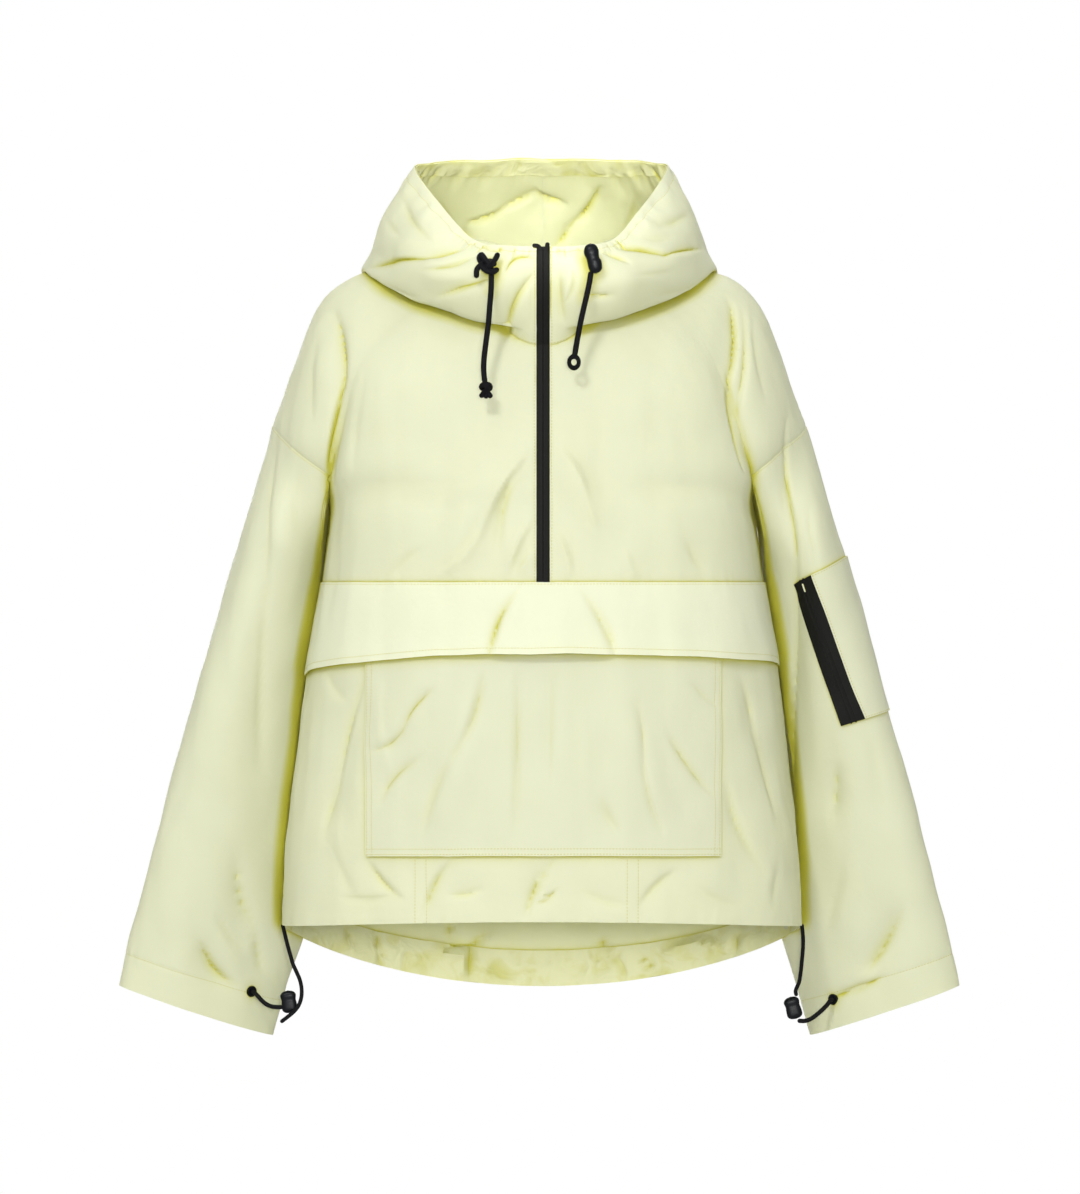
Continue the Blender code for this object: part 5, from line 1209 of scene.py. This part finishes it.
def addZips(sewn):
    grids = [sheets["zipLeft"], sheets["zipRight"]]
    left, right = grids[0][0][:, 1], grids[1][0][:, 0]
    line = grids[0][0][:, 0]
    aside = (left - right) / 2
    facing = grids[0][1][:, 0]
    top = zipBand(line + facing * zipForm["tape"], aside, facing)
    bottom = zipBand(line - facing * zipForm["tape"], aside, -facing)
    closing = np.stack([top[:, -1], bottom[:, -1]], axis=1), np.stack([bottom[:, 0], top[:, 0]], axis=1)
    ends = [np.stack([top[0], bottom[0]])[::-1], np.stack([top[-1], bottom[-1]])]
    tips = []  # the tape's two ends above the zip
    for side, spread, lift in ((-1, 4.5 * mm, 0.8 * mm), (1, 0.3 * mm, 2.2 * mm)):
        root = top[-1, 2 if side < 0 else -3]
        route = [root - (side * 1.0 * mm, 0, 4 * mm), root + (0, -0.4 * mm, -0.5 * mm),
                 root + (side * spread * 0.5, -1.0 * mm, lift * 0.7), root + (side * spread, -0.6 * mm, lift)]
        tips.append(tubeGrid(smoothRoute(route, 0.8 * mm), 2.2 * mm, flat=0.4))
    band = surfaceMesh([top, bottom[:, ::-1], *closing, *ends, *tips])
    addMesh("frontZip", *band, zipTape, "zip", ("front_zip",), 45)
    grid, normal = sewn["sleeveZip"]
    clothShell("sleeveZipTape", [(grid, normal)], "sleeve_zip",
               layer, zipTape, "zip")
    middle = grid.shape[1] // 2
    line = grid[:, middle] + normal[:, middle] * (layer + 0.75 * mm)
    teeth = [tubeGrid(line + (grid[:, middle + k] - grid[:, middle]) * 0.30, 0.9 * mm, flat=0.5)
             for k in (-2, 2)]
    addMesh("sleeveZipTeeth", *surfaceMesh(teeth), zipTape, "zip")
    # a thin pale strand across the zip's top, in the lighter copy of the cloth
    sliver = smoothRoute(line[-6:-2] + normal[-6:-2, middle] * 0.4 * mm, 1.0 * mm)
    addMesh("sleeveZipSliver", *surfaceMesh([tubeGrid(sliver, 0.8 * mm, flat=0.4)]), litFlapCloth, "shell_cloth")


addPanels()
sewn = addSewnOn()
addZips(sewn)
print("cloth and zips made")

# Stitching

stitch = dict(pitch=3.2 * mm, length=2.5 * mm, radius=0.22 * mm, lift=0.02 * mm, dip=0.1 * mm,
              uprights=(-0.125, -0.115, 0.083, 0.093))
# how far each row of stitches runs from its seam or edge
insets = dict(seam=2.2 * mm, neck=2.0 * mm, pocket=(1.8 * mm, 7.0 * mm), flapTop=2.0 * mm, flapEdge=6.0 * mm,
              patch=1.6 * mm)


def valuesAlong(at, run, values):
    return np.stack([np.interp(at, run, values[:, k]) for k in range(3)], axis=1)


def stitchRows(name, lines):
    # beads of thread: each a spindle of two rings between its ends, laid along the line at even pitch
    turn = fullTurn(5)[:-1, None]
    k = np.arange(5)
    after = (k + 1) % 5
    bead = np.vstack([np.stack([0 * k, 1 + after, 1 + k, 0 * k], axis=1),
                      np.stack([1 + k, 1 + after, 6 + after, 6 + k], axis=1),
                      np.stack([6 + k, 6 + after, 0 * k + 11, 0 * k + 11], axis=1)])
    solids, faces = [], []
    start = 0
    for line, normal in lines:
        run = runLength(line, 0)
        keep = np.concatenate([[True], np.diff(run) > 1e-7])
        run, line, normal = run[keep], line[keep], normal[keep]
        count = int(run[-1] / stitch["pitch"])
        if count < 2:
            continue
        at = (np.arange(count) + 0.5) * run[-1] / count
        place = valuesAlong(at, run, line)
        ahead = valuesAlong(at + 0.5 * mm, run, line) - valuesAlong(at - 0.5 * mm, run, line)
        ahead /= np.maximum(np.linalg.norm(ahead, axis=1, keepdims=True), 1e-12)
        up = valuesAlong(at, run, normal)
        up /= np.linalg.norm(up, axis=1, keepdims=True)
        aside = np.cross(ahead, up)
        place = place + up * stitch["lift"]
        ring = (np.cos(turn) * aside[:, None] + np.sin(turn) * up[:, None]) * stitch["radius"]
        half, dip = ahead * stitch["length"] / 2, up * stitch["dip"]
        solid = np.concatenate([(place - half - dip)[:, None], place[:, None] - 0.6 * half[:, None] + ring,
                                place[:, None] + 0.6 * half[:, None] + ring, (place + half - dip)[:, None]],
                               axis=1)
        faces.append((bead[None] + 12 * np.arange(count)[:, None, None]).reshape(-1, 4) + start)
        solids.append(solid.reshape(-1, 3))
        start += 12 * count
    points, faces = np.vstack(solids), np.vstack(faces)
    uv = np.zeros((len(faces), 4, 2))
    addMesh(name, points, faces, uv, lemonThread, "shell_cloth", sharp=80)
    print(f"{name}: {start // 12} stitches")


def between(sheet, row, beyond):
    # a line this far from a sheet's row, walked along its columns toward the next row given by the sign
    grid, normal = sheet
    run = runLength(grid, 0)
    target = run[row] + beyond
    columns = np.arange(grid.shape[1])
    at = np.array([np.interp(target[c], run[:, c], np.arange(grid.shape[0])) for c in columns])
    low = np.clip(np.floor(at).astype(int), 0, grid.shape[0] - 2)
    mix = (at - low)[:, None]
    line = (1 - mix) * grid[low, columns] + mix * grid[low + 1, columns]
    up = (1 - mix) * normal[low, columns] + mix * normal[low + 1, columns]
    return line, up / np.linalg.norm(up, axis=1, keepdims=True)


def turned(sheet):
    return sheet[0].swapaxes(0, 1), sheet[1].swapaxes(0, 1)


def onFace(line, up, lift=0.0):
    return line + up * (lift + solidWall / 2), up


def addStitching(sewn):
    lines = []

    def sew(sheet, row, beyond, lift=0.0):
        lines.append(onFace(*between(sheet, row, beyond), lift))

    hemRow = nearest(rows["lower"], levels["hemCasing"])
    cuffRow = nearest(rows["along"], body["cuffStitch"])
    casingRow = nearest(rows["heights"], body["hoodCasing"])
    for side, way, zipRow, inner, outer in (("Left", 1, 1, 0, -1), ("Right", -1, -2, -1, 0)):
        hood = sheets[f"hood{side}"]
        sew(sheets[f"back{side}"], hemRow, 0.0)
        sew(sheets[f"sleeve{side}"], cuffRow, 0.0)
        sew(sheets[f"sleeve{side}"], -1, -insets["seam"])
        sew(hood, casingRow, 0.0)
        sew(hood, 0, insets["neck"])
        sew(turned(sheets[f"frontUpper{side}"]), zipRow, way * insets["seam"])
        sew(turned(hood), inner, way * insets["seam"])
        sew(turned(hood), outer, -way * insets["seam"])
    for n, (sheet, lift) in enumerate(sewn["pocket"]):
        lifted = sheet[0] + sheet[1] * lift[..., None], sheet[1]
        for inset in insets["pocket"]:
            sew(turned(lifted), *((0, inset) if n else (-1, -inset)))
            sew(lifted, 0, inset)
    for sheet in sewn["flap"]:
        sew(sheet, -1, -insets["flapTop"])
        sew(sheet, 0, insets["flapEdge"])
    footRow = nearest(rows["lower"], levels["pocketFoot"])
    for x in stitch["uprights"]:
        grid, normal = sheets["frontLowerLeft" if x > 0 else "frontLowerRight"]
        column = nearest(grid[0, :, 0], x)
        lines.append(onFace(grid[:footRow, column], normal[:footRow, column]))
    patch, inset = sewn["patch"], insets["patch"]
    sew(patch, 0, inset, layer)
    sew(patch, -1, -inset, layer)
    sew(turned(patch), -1, -inset, layer)
    sew(turned(patch), 0, inset, layer)
    stitchRows("stitching", lines)


addStitching(sewn)

# Eyelets

eyeletForm = dict(ring=4.4 * mm, wire=1.3 * mm, stand=1.4 * mm, disc=0.4 * mm)
eyeletPlaces = dict(
    hood_eyelet_right=("hoodRight", -0.0520, 0.0285), hood_eyelet_left=("hoodLeft", 0.0482, 0.0335),
    cuff_eyelet_right=("sleeveRight", -0.2935, -0.6930), cuff_eyelet_left=("sleeveLeft", 0.2920, -0.7010),
)


def addEyelet(node, sheetName, x, z):
    # a ring that follows the cloth round the cord's hole, and a dark disc in it; the cloth is met along +Y
    points, faces, _, _, _ = mergeGrids([sheets[sheetName][0]])
    cloth = BVHTree.FromPolygons(points.tolist(), [list(dict.fromkeys(face)) for face in faces.tolist()])
    middle, normal, _, _ = cloth.ray_cast(Vector((x, -1.0, z)), Vector((0, 1, 0)))
    normal = normal if normal.y < 0 else -normal
    across = normal.cross(Vector((0, 0, 1))).normalized()
    up = across.cross(normal)
    outward = np.array([list(across * math.cos(a) + up * math.sin(a)) for a in fullTurn(32)])
    base = np.array([list(cloth.find_nearest(middle + Vector(o) * eyeletForm["ring"])[0]) for o in outward])
    facing = np.array(normal)
    centre = base + facing * eyeletForm["stand"]
    small = fullTurn(12)[None, :, None]
    ring = centre[:, None] + eyeletForm["wire"] * (np.cos(small) * outward[:, None] + np.sin(small) * facing)
    hub = centre.mean(axis=0)
    disc = np.stack([np.repeat(hub[None], len(centre), axis=0), centre], axis=1)
    back = disc[:, ::-1] - facing * eyeletForm["disc"]
    name = "".join(word.title() if n else word for n, word in enumerate(node.split("_")))
    addMesh(name + "Ring", *surfaceMesh([ring, disc, back]), mouldedBlack, "trim", (node,), 50)


for node, place in eyeletPlaces.items():
    addEyelet(node, *place)
print("eyelets made")

# Studio

studio = dict(sky=0.88, ground=0.38, floorDrop=-1.6, floorSize=16.0, floorTone=0.55)
lamps = (
    dict(name="key", place=(-1.1, -3.4, 2.2), aim=(0, 0, -0.25), size=0.7, power=72.0),
    dict(name="front", place=(0.3, -5.6, 0.0), aim=(0, 0, -0.25), size=0.6, power=108.0),
    dict(name="behind", place=(0.2, 1.9, 2.6), aim=(0, 0, 0.0), size=1.6, power=26.0),
    dict(name="lowBehind", place=(-0.6, 2.9, -0.3), aim=(0, 0, -0.5), size=1.6, power=26.0),
    # a flat narrow beam past the front's hem onto the tail's inside
    dict(name="tail", place=(0, -3.0, -0.690), aim=(0, 0.13, -0.690), size=0.50, thick=0.02, spread=2.6,
         power=0.05),
)
# a soft spot that reaches past the zip's top into the hood
hoodLight = dict(place=(0.0, -3.0, 0.02), aim=(0.0, 0.1, 0.160), cone=5.6, soft=0.6, size=0.06, power=400.0)


def aimLight(light, form):
    holder = bpy.data.objects.new(light.name, light)
    holder.location = form["place"]
    way = Vector(form["aim"]) - Vector(form["place"])
    holder.rotation_euler = way.to_track_quat("-Z", "Y").to_euler()
    bpy.context.scene.collection.objects.link(holder)


def whiteToCamera(tree, output, lit, seen):
    camera = addNode(tree, "LightPath").outputs["Is Camera Ray"]
    both = mixShaders(tree, camera, lit.outputs[0], seen.outputs[0])
    plug(tree, tree.nodes[output].inputs["Surface"], both)


def setStudio():
    scene = bpy.context.scene
    world = bpy.data.worlds.new("studio")
    scene.world = world
    world.use_nodes = True
    tree = world.node_tree
    # brighter overhead than below: strength goes evenly from ground to sky with the direction's height
    height = addNode(tree, "SeparateXYZ", Vector=addNode(tree, "TexCoord").outputs["Generated"])
    half = (studio["sky"] - studio["ground"]) / 2
    climb = maths(tree, "MULTIPLY", height.outputs[2], half)
    strength = maths(tree, "ADD", climb, studio["ground"] + half)
    lit = addNode(tree, "Background", Color=(1, 1, 1, 1), Strength=strength)
    whiteToCamera(tree, "World Output", lit, addNode(tree, "Background", Color=(1, 1, 1, 1), Strength=1.0))
    for lamp in lamps:
        light = bpy.data.lights.new(lamp["name"], "AREA")
        light.size, light.energy = lamp["size"], lamp["power"]
        light.spread = math.radians(lamp.get("spread", 180))
        if "thick" in lamp:
            light.shape, light.size_y = "RECTANGLE", lamp["thick"]
        aimLight(light, lamp)
    spot = bpy.data.lights.new("hoodLight", "SPOT")
    spot.spot_size, spot.spot_blend = math.radians(hoodLight["cone"]), hoodLight["soft"]
    spot.shadow_soft_size, spot.energy = hoodLight["size"], hoodLight["power"]
    aimLight(spot, hoodLight)
    half, z = studio["floorSize"] / 2, studio["floorDrop"]
    mesh = bpy.data.meshes.new("floor")
    corners = [(-half, -half, z), (half, -half, z), (half, half, z), (-half, half, z)]
    mesh.from_pydata(corners, [], [(0, 1, 2, 3)])
    floor = bpy.data.objects.new("floor", mesh)
    scene.collection.objects.link(floor)
    paper, tree, shader = shaderTree("paleFloor", Base_Color=(*(studio["floorTone"],) * 3, 1), Roughness=0.9)
    whiteToCamera(tree, "Material Output", shader, addNode(tree, "Emission", Strength=1.0))
    mesh.materials.append(paper)
    scene.view_settings.view_transform = "Standard"
    scene.view_settings.look = "None"


setStudio()
print("studio set")
